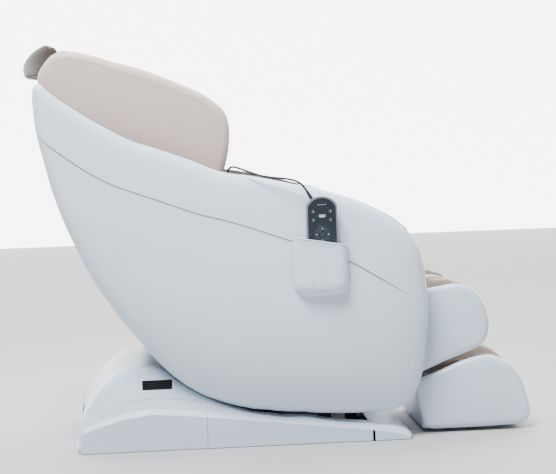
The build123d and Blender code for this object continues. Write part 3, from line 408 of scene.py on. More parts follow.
def fillLoop(loop, rollSteps, spacing):
    # Triangles over the loop's inside: rows that follow its edge, then an even field.
    count = len(loop)
    spots = [tuple(p) for p in loop]
    extra = []
    for step in rollSteps:
        for k in range(count):
            along = loop[(k + 1) % count] - loop[k - 1]
            normal = Vector((-along.y, along.x)).normalized()
            for sign in (1, -1):
                extra.append(tuple(loop[k] + normal * step * sign) + (step,))
    extra = np.array(extra)
    keep = insideLoop(loop, extra[:, :2]) & (loopDistance(loop, extra[:, :2]) > extra[:, 2] * 0.96)
    spots += [tuple(row[:2]) for row in extra[keep]]
    a = np.array([tuple(p) for p in loop])
    low, high = a.min(0), a.max(0)
    field = []
    row = 0
    z = low[1]
    while z < high[1]:
        x = low[0] + (spacing / 2 if row % 2 else 0)
        while x < high[0]:
            field.append((x, z))
            x += spacing
        z += spacing * 0.866
        row += 1
    field = np.array(field)
    keep = insideLoop(loop, field) & (loopDistance(loop, field) > rollSteps[-1] + spacing * 0.6)
    spots += [tuple(spot) for spot in field[keep]]
    edges = [(k, (k + 1) % count) for k in range(count)]
    flat, _, faces, *_ = delaunay_2d_cdt([Vector(s) for s in spots], edges, [], 1, 1e-7)
    return [Vector(p) for p in flat], [tuple(f) for f in faces]


def domedPair(outline, step, rollSteps, spacing, outer, inner):
    # A closed form over a side outline: outer and inner give the y of each face from (edge distance, crown).
    loop = smoothLine([(x * mm, z * mm) for x, z in outline], True, step)
    flat, faces = fillLoop(loop, rollSteps, spacing)
    crown = membrane(loop, spacing)
    spots = np.array([tuple(p) for p in flat])
    gaps = loopDistance(loop, spots)
    vertices, backIndex = [], {}
    for p, gap in zip(flat, gaps):
        vertices.append((p.x, outer(gap, crown(p.x, p.y)), p.y))
    for k, (p, gap) in enumerate(zip(flat, gaps)):
        if gap < 1e-6:
            backIndex[k] = k
        else:
            backIndex[k] = len(vertices)
            vertices.append((p.x, inner(gap, crown(p.x, p.y)), p.y))
    back = [tuple(backIndex[k] for k in reversed(face)) for face in faces]
    return vertices, list(faces) + back


def tubeAlong(name, path, radii, around=10, closed=False):
    # A tube with its own radius at each point of the path.
    vertices, faces = [], []
    side = None
    count = len(path)
    for k, point in enumerate(path):
        if closed:
            ahead = path[(k + 1) % count] - path[k - 1]
        else:
            ahead = path[min(k + 1, count - 1)] - path[max(k - 1, 0)]
        ahead = ahead.normalized()
        if side is None:
            side = ahead.orthogonal().normalized()
        side = (side - ahead * side.dot(ahead)).normalized()
        other = ahead.cross(side)
        for j in range(around):
            turn = 2 * math.pi * j / around
            vertices.append(point + (side * math.cos(turn) + other * math.sin(turn)) * radii[k])
    for k in range(count if closed else count - 1):
        for j in range(around):
            a, b = k * around, ((k + 1) % count) * around
            faces.append((a + j, a + (j + 1) % around, b + (j + 1) % around, b + j))
    if not closed:
        faces.append(tuple(range(around)))
        faces.append(tuple(range((count - 1) * around, count * around)))
    return addPiece(name, vertices, faces, 60)


def subtract(piece, cutter, angle=35):
    cut = piece.modifiers.new("cut", "BOOLEAN")
    cut.operation = "DIFFERENCE"
    cut.solver = "EXACT"
    cut.object = cutter
    applyModifiers(piece, angle)
    bpy.data.objects.remove(cutter)


def surfaceOf(piece):
    work = bmesh.new()
    work.from_mesh(piece.data)
    tree = BVHTree.FromBMesh(work)
    work.free()
    return tree


def touch(tree, origin, direction, lift):
    spot, normal, _, _ = tree.ray_cast(Vector(origin), Vector(direction))
    if spot is None:
        return None
    if normal.dot(Vector(direction)) > 0:
        normal = -normal
    return spot + normal * lift


# Stitches follow a path in Geometry Nodes

pathValues = {"stitchLength": 0.0052, "stitchGap": 0.0022, "stitchRadius": 0.0006}


def socketCode(group, name):
    return next(item.identifier for item in group.interface.items_tree if item.name == name)


def alongPathGroup(name, shape):
    group = bpy.data.node_groups.new(name, "GeometryNodeTree")
    face = group.interface
    face.new_socket("Geometry", in_out="INPUT", socket_type="NodeSocketGeometry")
    for label in ("Spacing", "Length", "Radius"):
        face.new_socket(label, in_out="INPUT", socket_type="NodeSocketFloat")
    face.new_socket("Finish", in_out="INPUT", socket_type="NodeSocketMaterial")
    face.new_socket("Geometry", in_out="OUTPUT", socket_type="NodeSocketGeometry")
    add, join = group.nodes.new, group.links.new
    source, output = add("NodeGroupInput"), add("NodeGroupOutput")
    toCurve, even = add("GeometryNodeMeshToCurve"), add("GeometryNodeResampleCurve")
    even.mode = "LENGTH"
    join(source.outputs["Geometry"], toCurve.inputs["Mesh"])
    join(toCurve.outputs["Curve"], even.inputs["Curve"])
    join(source.outputs["Spacing"], even.inputs["Length"])
    form = add(shape)
    if shape == "GeometryNodeMeshUVSphere":
        form.inputs["Segments"].default_value = 8
        form.inputs["Rings"].default_value = 6
        form.inputs["Radius"].default_value = 1.0
    else:
        form.inputs["Size"].default_value = (2, 2, 2)
    scale = add("ShaderNodeCombineXYZ")
    join(source.outputs["Radius"], scale.inputs["X"])
    join(source.outputs["Radius"], scale.inputs["Y"])
    join(source.outputs["Length"], scale.inputs["Z"])
    tangent, turn = add("GeometryNodeInputTangent"), add("FunctionNodeAlignRotationToVector")
    turn.axis = "Z"
    join(tangent.outputs["Tangent"], turn.inputs["Vector"])
    spread = add("GeometryNodeInstanceOnPoints")
    join(even.outputs["Curve"], spread.inputs["Points"])
    join(form.outputs["Mesh"], spread.inputs["Instance"])
    join(turn.outputs["Rotation"], spread.inputs["Rotation"])
    join(scale.outputs["Vector"], spread.inputs["Scale"])
    real, paint = add("GeometryNodeRealizeInstances"), add("GeometryNodeSetMaterial")
    join(spread.outputs["Instances"], real.inputs["Geometry"])
    join(real.outputs["Geometry"], paint.inputs["Geometry"])
    join(source.outputs["Finish"], paint.inputs["Material"])
    join(paint.outputs["Geometry"], output.inputs["Geometry"])
    return group


stitchGroup = alongPathGroup("stitchesAlongPath", "GeometryNodeMeshUVSphere")


def stitchPaths(name, paths, body, slot, finish, values=pathValues):
    vertices, edges = [], []
    for path in paths:
        start = len(vertices)
        vertices += [tuple(p) for p in path]
        edges += [(k, k + 1) for k in range(start, len(vertices) - 1)]
    mesh = bpy.data.meshes.new(name)
    mesh.from_pydata(vertices, edges, [])
    made = bpy.data.objects.new(name, mesh)
    bpy.context.collection.objects.link(made)
    maker = made.modifiers.new("stitches", "NODES")
    maker.node_group = stitchGroup
    settings = {"Spacing": values["stitchLength"] + values["stitchGap"], "Length": values["stitchLength"] / 2,
                "Radius": values["stitchRadius"], "Finish": finishes[finish]}
    for label, value in settings.items():
        maker[socketCode(stitchGroup, label)] = value
    applyModifiers(made, 60)
    finishPiece(made, body, slot, finish)
    return made


# Side shells: one crowned skin each, a sewn line across with a dark cord of painted shade in its groove, piping on the
# arm's edge

shellOutline = [
    (-686, 1022), (-678, 911), (-663, 844), (-642, 755), (-613, 665), (-575, 574), (-531, 483),
    (-471, 390), (-399, 296), (-331, 219), (-277, 174), (-208, 137), (-110, 107), (-26, 95),
    (89, 84), (174, 78), (263, 77), (312, 83), (343, 94), (368, 115), (388, 154), (400, 199),
    (412, 288), (417, 374), (414, 437), (409, 480), (400, 530), (381, 574), (356, 607),
    (319, 638), (275, 664), (214, 693), (150, 715), (83, 733), (25, 749), (-31, 762), (-87, 774), (-165, 788), (-253, 825), (-335, 856),
    (-419, 886), (-500, 931), (-581, 983), (-634, 1023), (-664, 1050), (-680, 1044),
]
shellSeam = [
    (-672, 902), (-640, 874), (-612, 852), (-559, 813), (-478, 766), (-355, 718), (-231, 672),
    (-149, 649), (-24, 605), (185, 524), (268, 475), (345, 428), (402, 394),
]
shellValues = {"rim": 0.325, "inner": 0.252, "roll": 0.022, "rollReach": 0.030, "crown": 0.036, "tuck": 0.066,
               "tuckFrom": 0.80, "tuckTo": 0.05, "thick": 0.007, "seamRadius": 0.0016, "pipingRadius": 0.0026}


def shellDepth(gap, crown, z):
    # The lower half tucks under, like an egg's.
    v = shellValues
    crown = min(max(crown, 0), 1)
    tuck = v["tuck"] * (1 - crown ** 0.6) * (1 - easeStep(v["tuckTo"], v["tuckFrom"], z))
    return v["rim"] + v["roll"] * bow(gap / v["rollReach"]) + v["crown"] * crown ** 0.62 - tuck


def makeShell(sideName, side):
    v = shellValues
    loop = smoothLine([(x * mm, z * mm) for x, z in shellOutline], True, 0.009)
    rollSteps = (0.0006, 0.002, 0.0045, 0.008, 0.0125, 0.018, 0.025, 0.034)
    flat, faces = fillLoop(loop, rollSteps, 0.012)
    crown = membrane(loop, 0.010)
    gaps = loopDistance(loop, np.array([tuple(p) for p in flat]))
    vertices = [(p.x, side * shellDepth(gap, crown(p.x, p.y), p.y), p.y) for p, gap in zip(flat, gaps)]
    faces = list(faces)
    rim = list(range(len(loop)))
    rows = 5
    for k in range(1, rows + 1):
        start = len(vertices)
        for p in loop:
            outer = shellDepth(0, 0, p.y)
            vertices.append((p.x, side * (outer + (v["inner"] - outer) * k / rows), p.y))
        here = [start + j for j in range(len(loop))]
        for j in range(len(loop)):
            a, b = loop[j], loop[(j + 1) % len(loop)]
            if min(a.x, b.x) < 0.238 and min(a.y, b.y) > 0.560:
                continue
            nxt = (j + 1) % len(loop)
            faces.append((rim[j], rim[nxt], here[nxt], here[j]))
        rim = here
    shell = addPiece("sideShell_" + sideName, vertices, faces)
    work = bmesh.new()
    work.from_mesh(shell.data)
    loose = [vert for vert in work.verts if not vert.link_faces]
    bmesh.ops.delete(work, geom=loose, context="VERTS")
    # the skin's own faces look outward before it is given its thickness
    best = max(work.faces, key=lambda f: abs(f.calc_center_median().y))
    if best.normal.y * side < 0:
        bmesh.ops.reverse_faces(work, faces=work.faces)
    work.to_mesh(shell.data)
    work.free()
    thicken = shell.modifiers.new("thickness", "SOLIDIFY")
    thicken.thickness = v["thick"]
    thicken.offset = -1
    applyModifiers(shell, 50)
    tree = surfaceOf(shell)
    seam = []
    for spot in smoothLine([(x * mm, z * mm) for x, z in shellSeam], False, 0.006):
        hit = touch(tree, (spot.x, side * 0.6, spot.y), (0, -side, 0), 0.0002)
        if hit is not None and abs(hit.y) > v["rim"] - 0.005:
            seam.append(hit)
    count = len(seam)
    radii = [v["seamRadius"] * easeStep(-0.02, 0.04, k / count) * (1 - easeStep(0.86, 1.0, k / count)) + 0.00012
             for k in range(count)]
    subtract(shell, tubeAlong("seamCutter", seam, radii, 8), 50)
    # Painted shade: a dark cord sunk in the seam's groove darkens the line as the groove's shadow would.
    sunk = [point + Vector((0, -side * 0.0006, 0)) for point in seam]
    seamShade = tubeAlong("seamShadeCord_" + sideName, sunk, [radius * 0.55 for radius in radii], 8)
    finishPiece(seamShade, "seat_module", "shell_white", "piping_grey")
    body = ["side_shell_" + sideName, "arm_panel_" + sideName]
    finishPiece(shell, "seat_module", "shell_white", stands=body)
    stitches = [point + Vector((0, side * 0.0004, -0.0042)) for point in seam[2:int(count * 0.9)]]
    stitchPaths("shellStitches_" + sideName, [stitches], "seat_module", "shell_white", "thread_pale",
                {"stitchLength": 0.005, "stitchGap": 0.0026, "stitchRadius": 0.00045})
    edge = [(x * mm, z * mm) for x, z in shellOutline[28:46]]
    line = [Vector((p.x, side * (v["rim"] - 0.001), p.y - 0.001)) for p in smoothLine(edge, False, 0.012)]
    piping = tubeAlong("armPiping_" + sideName, line, [v["pipingRadius"]] * len(line), 10)
    finishPiece(piping, "seat_module", "shell_white", "piping_grey")
    return tree


shellTrees = {name: makeShell(name, side) for name, side in sides.items()}
print("side shells are made")

# Hood: two padded wings; the padded back that joins them is made with the soft pieces

hoodOutline = [
    (-672, 1071), (-655, 1105), (-632, 1130), (-605, 1141), (-535, 1130), (-466, 1108),
    (-382, 1083), (-299, 1050), (-216, 1011), (-174, 982), (-149, 955), (-138, 919),
    (-138, 882), (-143, 842), (-154, 798), (-166, 765), (-200, 752), (-300, 800),
    (-400, 840), (-500, 880), (-590, 940), (-655, 1010),
]
hoodValues = {"outer": 0.270, "inner": 0.241, "roll": 0.018, "crown": 0.004, "pipingRadius": 0.0022}


def makeHoodSide(sideName, side):
    v = hoodValues
    middle = (v["outer"] + v["inner"]) / 2
    halfThick = (v["outer"] - v["inner"]) / 2

    def outer(gap, crown):
        return side * (middle + halfThick * bow(gap / v["roll"]) + v["crown"] * max(crown, 0) ** 0.7)

    def inner(gap, crown):
        return side * (middle - halfThick * bow(gap / v["roll"]))

    vertices, faces = domedPair(hoodOutline, 0.008, (0.0008, 0.0025, 0.005, 0.009, 0.014, 0.020), 0.012, outer, inner)
    wing = addPiece("hoodSide_" + sideName, vertices, faces, 60)
    finishPiece(wing, "seat_module", "hood_beige", stands=["hood_side_" + sideName], fill=0.8)
    rim = smoothLine([(x * mm, z * mm) for x, z in hoodOutline[2:16]], False, 0.010)
    line = [Vector((p.x, side * (middle - 0.006), p.y)) for p in rim]
    piping = tubeAlong("hoodPiping_" + sideName, line, [v["pipingRadius"]] * len(line), 10)
    finishPiece(piping, "seat_module", "hood_beige", "piping_grey")
    tree = surfaceOf(wing)
    sewn = []
    for k, spot in enumerate(smoothLine([(x * mm, z * mm) for x, z in hoodOutline[3:12]], False, 0.008)):
        drop = Vector((spot.x, spot.y)) + (Vector((-0.40, 0.93)) - spot).normalized() * 0.028
        hit = touch(tree, (drop.x, side * 0.5, drop.y), (0, -side, 0), 0.0002)
        if hit is not None:
            sewn.append(hit)
    stitchPaths("hoodStitches_" + sideName, [sewn], "seat_module", "hood_beige", "thread_brown",
                {"stitchLength": 0.005, "stitchGap": 0.003, "stitchRadius": 0.0004})


for sideName, side in sides.items():
    makeHoodSide(sideName, side)
print("the hood's sides are made")

# Soft pieces: each starts from its plain solid, is drawn in, inflated, then sewn, with painted shade in the creases


def easeEdges(piece, voxel, rounds, shrink):
    shape = piece.modifiers.new("even", "REMESH")
    shape.mode = "VOXEL"
    shape.voxel_size = voxel
    relax = piece.modifiers.new("relax", "SMOOTH")
    relax.factor = 0.5
    relax.iterations = rounds
    pull = piece.modifiers.new("pull", "DISPLACE")
    pull.mid_level = 0
    pull.strength = -shrink
    applyModifiers(piece, 180)


def inflate(piece, pressure, cap):
    rest = [v.co.copy() for v in piece.data.vertices]
    cloth = piece.modifiers.new("air", "CLOTH")
    cloth.settings.use_pressure = True
    cloth.settings.uniform_pressure_force = pressure
    cloth.settings.effector_weights.gravity = 0
    cloth.settings.quality = 3
    cloth.settings.mass = 0.3
    cloth.collision_settings.use_collision = False
    for step in range(1, 21):
        bpy.context.scene.frame_set(step)
    seen = piece.evaluated_get(bpy.context.evaluated_depsgraph_get())
    moved = [v.co.copy() for v in seen.data.vertices]
    piece.modifiers.clear()
    bpy.context.scene.frame_set(1)
    for vert, start, end in zip(piece.data.vertices, rest, moved):
        step = end - start
        if step.length > cap:
            step = step * (cap / step.length)
        vert.co = start + step


def sewCreases(piece, creases):
    # Each crease is a line across one axis that pulls the skin in, where its side is seen, and paints shade into the
    # crease through the crease attribute.
    mesh = piece.data
    attribute = mesh.attributes.new("crease", "FLOAT", "POINT")
    normals = [v.normal.copy() for v in mesh.vertices]
    shades = []
    for vert, normal in zip(mesh.vertices, normals):
        pull, shade = 0.0, 0.0
        for crease in creases:
            axis = "xyz".index(crease["axis"])
            facing = Vector(crease.get("facing", (0, 0, 1)))
            if normal.dot(facing) < crease.get("reach", 0.2):
                continue
            low, high = crease.get("within", (-9, 9))
            other = vert.co["xyz".index(crease.get("along", "x"))]
            if not low <= other <= high:
                continue
            off = (vert.co[axis] - crease["at"]) / crease["width"]
            sink = math.exp(-off * off)
            pull = max(pull, crease["depth"] * sink)
            # Painted shade, darkest along the crease's middle.
            shade = max(shade, math.exp(-off * off * 2.2) * crease.get("tone", 0.7))
        vert.co -= normal * pull
        shades.append(shade)
    attribute.data.foreach_set("value", shades)


def softPiece(name, values):
    source = nodes[values["node"]]
    piece = bpy.data.objects.new(name, source.data.copy())
    bpy.context.collection.objects.link(piece)
    piece.data.materials.clear()
    easeEdges(piece, values["voxel"], values["rounds"], values["shrink"])
    inflate(piece, values["pressure"], values["cap"])
    fine = piece.modifiers.new("fine", "SUBSURF")
    fine.levels = 1
    applyModifiers(piece, 180)
    sewCreases(piece, values.get("creases", []))
    finishPiece(piece, values["body"], values["slot"], values.get("finish"), [values["node"]], values["fill"])
    print(name, "is padded")
    return piece


seatCushionValues = {
    "node": "seat_cushion", "body": "seat_module", "slot": "seat_brown", "voxel": 0.008, "rounds": 6, "shrink": 0.006,
    "pressure": 4, "cap": 0.010, "fill": 0.7,
    "creases": [{"axis": "y", "at": y, "width": 0.006, "depth": 0.007} for y in (-0.12, 0.0, 0.12)]
    + [{"axis": "x", "at": x, "width": 0.006, "depth": 0.006, "along": "y"} for x in (-0.02, 0.16)],
}
backCushionValues = {
    "node": "back_cushion", "body": "seat_module", "slot": "seat_brown", "voxel": 0.008, "rounds": 8, "shrink": 0.006,
    "pressure": 4, "cap": 0.012, "fill": 0.7,
    "creases": [{"axis": "z", "at": z, "width": 0.006, "depth": 0.008, "facing": (1, 0, 0.3), "along": "y"}
                for z in (0.56, 0.66, 0.76, 0.86)],
}
pillowValues = {
    "node": "head_pillow", "body": "seat_module", "slot": "seat_brown", "voxel": 0.007, "rounds": 12, "shrink": 0.008,
    "pressure": 5, "cap": 0.014, "fill": 0.85,
    "creases": [{"axis": "y", "at": y, "width": 0.005, "depth": 0.005, "facing": (1, 0, 0.2), "along": "z"}
                for y in (-0.075, 0.075)],
}
hoodBackValues = {
    "node": "hood_back", "body": "seat_module", "slot": "seat_brown", "voxel": 0.007, "rounds": 10, "shrink": 0.001,
    "pressure": 3, "cap": 0.004, "fill": 0.8,
}
calfPadValues = {
    "node": "calf_pad", "body": "leg_rest", "slot": "pad_taupe", "voxel": 0.0075, "rounds": 5, "shrink": 0.004,
    "pressure": 3, "cap": 0.007, "fill": 0.7,
    "creases": [{"axis": "y", "at": y, "width": 0.0045, "depth": 0.006, "reach": 0.1}
                for y in (-0.19, -0.155, -0.061, 0.0, 0.061, 0.155, 0.19)],
}
footPadValues = {
    "node": "foot_pad", "body": "foot_rest", "slot": "pad_taupe", "voxel": 0.0075, "rounds": 5, "shrink": 0.004,
    "pressure": 3, "cap": 0.007, "fill": 0.7,
    "creases": [{"axis": "y", "at": y, "width": 0.0045, "depth": 0.006, "reach": 0.1}
                for y in (-0.19, -0.03, 0.03, 0.19)],
}
softPiece("seatCushion", seatCushionValues)
softPiece("backCushion", backCushionValues)
softPiece("headPillow", pillowValues)
softPiece("hoodBack", hoodBackValues)
softPiece("calfPad", calfPadValues)
softPiece("footPad", footPadValues)
for sideName in sides:
    softPiece("armPad_" + sideName, {
        "node": "arm_pad_" + sideName, "body": "seat_module", "slot": "pad_taupe", "voxel": 0.0085, "rounds": 4,
        "shrink": 0.003, "pressure": 3, "cap": 0.004, "fill": 0.7,
        "creases": [{"axis": "x", "at": x, "width": 0.005, "depth": 0.004, "along": "y"}
                    for x in (-0.10, 0.0, 0.10)]})
print("soft pieces are made")

# Leg rest mouldings: a crowned panel each side and the wall between them

calfOutline = [
    (385, 416), (419, 423), (462, 430), (510, 435), (545, 427), (573, 407), (593, 376), (605, 336),
    (607, 306), (601, 277), (584, 254), (545, 235), (486, 214), (430, 191), (388, 176),
    (374, 190), (372, 290), (374, 400),
]
footOutline = [
    (411, 166), (456, 182), (515, 206), (560, 218), (604, 221), (634, 213), (669, 191),
    (694, 160), (711, 115), (721, 75), (724, 45), (716, 27), (689, 17), (629, 12),
    (540, 11), (466, 11), (425, 13), (409, 22), (400, 54), (390, 100), (381, 140), (386, 157),
]
legValues = {"outer": 0.235, "inner": 0.2115, "rim": 0.216, "roll": 0.011, "rollReach": 0.016, "crown": 0.008}


def legPanel(name, outline, side):
    v = legValues

    def outer(gap, crown):
        return side * (v["rim"] + v["roll"] * bow(gap / v["rollReach"]) + v["crown"] * max(crown, 0) ** 0.6)

    def inner(gap, crown):
        return side * (v["rim"] - (v["rim"] - v["inner"]) * bow(gap / 0.004))

    vertices, faces = domedPair(outline, 0.006, (0.0006, 0.002, 0.004, 0.007, 0.011, 0.016), 0.009, outer, inner)
    return addPiece(name, vertices, faces, 50)


def roundedBlock(name, low, high, radius, segments=3):
    work = bmesh.new()
    bmesh.ops.create_cube(work, size=1)
    low, high = Vector(low), Vector(high)
    for vert in work.verts:
        vert.co = Vector(((low[k] + high[k]) / 2 + vert.co[k] * (high[k] - low[k]) for k in range(3)))
    bmesh.ops.bevel(work, geom=work.edges[:], offset=radius, segments=segments, profile=0.5, affect="EDGES")
    mesh = bpy.data.meshes.new(name)
    work.to_mesh(mesh)
    work.free()
    made = bpy.data.objects.new(name, mesh)
    bpy.context.collection.objects.link(made)
    shadeSmooth(made, 40)
    return made


calfParts = [legPanel("calfSide", calfOutline, side) for side in sides.values()]
calfParts.append(roundedBlock("calfWall", (0.427, -0.2125, 0.196), (0.434, 0.2125, 0.419), 0.002))
calfHousing = joinPieces("calfHousing", calfParts)
finishPiece(calfHousing, "leg_rest", "leg_white", stands=["calf_housing"])
footParts = [legPanel("footSide", footOutline, side) for side in sides.values()]
footParts.append(roundedBlock("footWall", (0.4045, -0.2125, 0.020), (0.411, 0.2125, 0.160), 0.002))
footParts.append(roundedBlock("footFloor", (0.406, -0.2125, 0.0125), (0.700, 0.2125, 0.034), 0.003))
footHousing = joinPieces("footHousing", footParts)
finishPiece(footHousing, "foot_rest", "leg_white", stands=["foot_housing"])
print("leg rest mouldings are made")

# Base covers: a rear dome, two side sills and a nose, as one height field cut by seams

baseProfile = [
    (-598, 8), (-598, 26), (-591, 72), (-578, 108), (-544, 161), (-515, 191), (-472, 222),
    (-428, 236), (-392, 240), (-347, 221), (-315, 195), (-260, 159), (-200, 129), (-130, 103),
    (-60, 87), (0, 78), (52, 76), (150, 58), (260, 46), (335, 31), (362, 13), (364, 8),
]
skirtTop = [(-600, 56), (-534, 78), (-470, 96), (-392, 106), (-250, 94), (-50, 70), (149, 46), (300, 26), (363, 12)]
baseValues = {"half": 0.312, "bevelWide": 0.012, "bevelRise": 0.013, "slope": 2.6, "blend": 0.020, "low": 0.002,
              "thick": 0.004, "openingHalf": 0.238, "openingRear": -0.318, "openingFront": 0.244,
              "rearSeam": -0.231, "frontSeam": 0.252, "seamGap": 0.0014}


def readLine(points, x):
    for (x1, z1), (x2, z2) in zip(points, points[1:]):
        if x <= x2:
            return z1 + (z2 - z1) * max(x - x1, 0) / (x2 - x1)
    return points[-1][1]


def softLower(a, b, blend):
    h = max(blend - abs(a - b), 0) / blend
    return min(a, b) - h * h * blend / 4


def baseHeight(x, z, edge):
    v = baseValues
    skirt = readLine(skirtTop, x / mm) * mm
    if edge <= v["bevelWide"]:
        limit = skirt + v["bevelRise"] * edge / v["bevelWide"]
    else:
        limit = skirt + v["bevelRise"] + v["slope"] * (edge - v["bevelWide"])
    return max(softLower(z, limit, v["blend"]), v["low"])


def baseGrid(name, xLow, xHigh, hole):
    v = baseValues
    profile = [p for p in smoothLine([(x * mm, z * mm) for x, z in baseProfile], False, 0.006)]
    stations = [p for p in profile if xLow < p.x < xHigh]
    for limit in (xLow, xHigh):
        if profile[0].x < limit < profile[-1].x:
            z = readLine([(p.x, p.y) for p in profile], limit)
            stations.append(Vector((limit, z)))
    stations.sort(key=lambda p: (p.x, -p.y if p.x > 0.3 else p.y))
    edges = [0.0, 0.002, 0.004, 0.006, 0.008, 0.010, 0.012, 0.014, 0.017, 0.020, 0.024, 0.028, 0.032, 0.037,
             0.042, 0.048, 0.054, 0.060, 0.067, 0.074, 0.082, 0.092, 0.105, 0.12, 0.14, 0.165, 0.19, 0.22, 0.26, 0.312]
    ys = [(-v["half"] + e, e) for e in edges] + [(v["half"] - e, e) for e in reversed(edges[:-1])]
    vertices, faces, index = [], [], {}

    def vertex(i, j, spot):
        index[(i, j)] = len(vertices)
        vertices.append(spot)

    for i, p in enumerate(stations):
        for j, (y, edge) in enumerate(ys):
            draw = 1 - 0.020 * max(1 - edge / 0.05, 0) ** 2
            x = -0.11 + (p.x + 0.11) * (draw if xLow < -0.5 or xHigh > 0.3 else 1)
            vertex(i, j, (x, y, baseHeight(p.x, p.y, edge)))
        for j, (y, edge) in ((-1, ys[0]), (len(ys), ys[-1])):
            x = vertices[index[(i, 0 if j < 0 else len(ys) - 1)]][0]
            vertex(i, j, (x, y, v["low"]))
    for i in range(len(stations) - 1):
        middleX = (stations[i].x + stations[i + 1].x) / 2
        for j in range(-1, len(ys)):
            if 0 <= j < len(ys) - 1 and hole:
                middleY = (ys[j][0] + ys[j + 1][0]) / 2
                if v["openingRear"] < middleX < v["openingFront"] and abs(middleY) < v["openingHalf"] - 0.001:
                    continue
            faces.append((index[(i, j)], index[(i + 1, j)], index[(i + 1, j + 1)], index[(i, j + 1)]))
    cover = addPiece(name, vertices, faces)
    work = bmesh.new()
    work.from_mesh(cover.data)
    bmesh.ops.delete(work, geom=[vert for vert in work.verts if not vert.link_faces], context="VERTS")
    top = max(work.faces, key=lambda f: f.calc_center_median().z)
    if top.normal.z < 0:
        bmesh.ops.reverse_faces(work, faces=work.faces)
    work.to_mesh(cover.data)
    work.free()
    thicken = cover.modifiers.new("thickness", "SOLIDIFY")
    thicken.thickness = v["thick"]
    thicken.offset = -1
    applyModifiers(cover, 38)
    return cover


def keepSide(piece, name, side):
    work = bmesh.new()
    work.from_mesh(piece.data)
    gone = [f for f in work.faces if f.calc_center_median().y * side < 0]
    bmesh.ops.delete(work, geom=gone, context="FACES")
    mesh = bpy.data.meshes.new(name)
    work.to_mesh(mesh)
    work.free()
    made = bpy.data.objects.new(name, mesh)
    bpy.context.collection.objects.link(made)
    shadeSmooth(made, 38)
    return made


seamHalf = baseValues["seamGap"] / 2
rearCover = baseGrid("baseCoverRear", -9, baseValues["rearSeam"] - seamHalf, True)
sills = baseGrid("sills", baseValues["rearSeam"] + seamHalf, baseValues["frontSeam"] - seamHalf, True)
noseCover = baseGrid("baseCoverNose", baseValues["frontSeam"] - seamHalf + 0.0003, 9, False)
baseTree = surfaceOf(rearCover)

grooveValues = {"radius": 0.0016, "line": [(-492, 128), (-440, 141), (-380, 147), (-300, 141), (-240, 131)]}
for side in sides.values():
    line = []
    for spot in smoothLine([(x * mm, z * mm) for x, z in grooveValues["line"]], False, 0.006):
        hit = touch(baseTree, (spot.x, side * 0.5, spot.y), (0, -side, 0), 0.0003)
        if hit is not None:
            line.append(hit)
    radii = [grooveValues["radius"] * easeStep(0, 0.12, k / len(line)) + 0.0002 for k in range(len(line))]
    subtract(rearCover, tubeAlong("grooveCutter", line, radii, 8), 38)

ventValues = {"low": (-0.411, 0.171), "high": (-0.325, 0.198), "depth": 0.012, "slats": 5, "lip": 0.003}


def makeVent():
    v = ventValues
    (x1, z1), (x2, z2) = v["low"], v["high"]
    corners = [touch(baseTree, (x, -0.5, z), (0, 1, 0), 0) for x, z in ((x1, z1), (x2, z1), (x2, z2), (x1, z2))]
    low = min(c.y for c in corners) - 0.002
    high = max(c.y for c in corners) + v["depth"]
    cutter = roundedBlock("ventCutter", (x1, low - 0.02, z1), (x2, high, z2), 0.003)
    subtract(rearCover, cutter, 38)
    tray = [c + Vector((0, v["depth"], 0)) for c in corners]
    ring = [c + Vector((0, 0.0015, 0)) for c in corners]
    vertices = ring + tray
    faces = [(0, 1, 5, 4), (1, 2, 6, 5), (2, 3, 7, 6), (3, 0, 4, 7), (4, 5, 6, 7)]
    box = addPiece("ventTray", vertices, faces)
    thicken = box.modifiers.new("thickness", "SOLIDIFY")
    thicken.thickness = 0.0012
    applyModifiers(box)
    parts = [box]
    for k in range(v["slats"]):
        t = (k + 0.7) / (v["slats"] + 0.4)
        left = ring[0].lerp(ring[3], t) + Vector((0.002, 0.001, 0))
        right = ring[1].lerp(ring[2], t) + Vector((-0.002, 0.001, 0))
        slat = []
        for end in (left, right):
            slat += [end + Vector((0, 0, 0.0009)), end + Vector((0, 0.0065, -0.0028)),
                     end + Vector((0, 0.0070, -0.0040)), end + Vector((0, 0, -0.0005))]
        parts.append(addPiece("slat", slat, [(0, 1, 5, 4), (1, 2, 6, 5), (2, 3, 7, 6), (3, 0, 4, 7), (0, 3, 2, 1),
                                             (4, 5, 6, 7)], 20))
    vent = joinPieces("ventGrille", parts)
    finishPiece(vent, "base", "vent_dark", stands=["vent_grille"])


makeVent()
inletLow, inletHigh = (Vector(c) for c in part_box("power_inlet"))
gap = Vector((0.03, 0.0008, 0.0008))
subtract(rearCover, roundedBlock("inletCutter", inletLow - gap, inletHigh + gap, 0.001), 38)
for sideName in sides:
    wheelLow, wheelHigh = (Vector(c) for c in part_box("transport_wheel_" + sideName))
    room = Vector((0.006, 0.005, 0.020))
    cutter = roundedBlock("wheelCutter", wheelLow - room - Vector((0.1, 0, 0)), wheelHigh + room, 0.004)
    subtract(rearCover, cutter, 38)
finishPiece(rearCover, "base", "base_white", stands=["base_cover_rear"])
finishPiece(noseCover, "base", "base_white", stands=["base_cover_nose"])
for sideName, side in sides.items():
    sill = keepSide(sills, "baseSill_" + sideName, side)
    finishPiece(sill, "base", "base_white", stands=["base_cover_" + sideName])
bpy.data.objects.remove(sills)

screwValues = {"places": [(-0.530, 0.104), (0.10, 0.040)], "radius": 0.0042, "height": 0.0012}


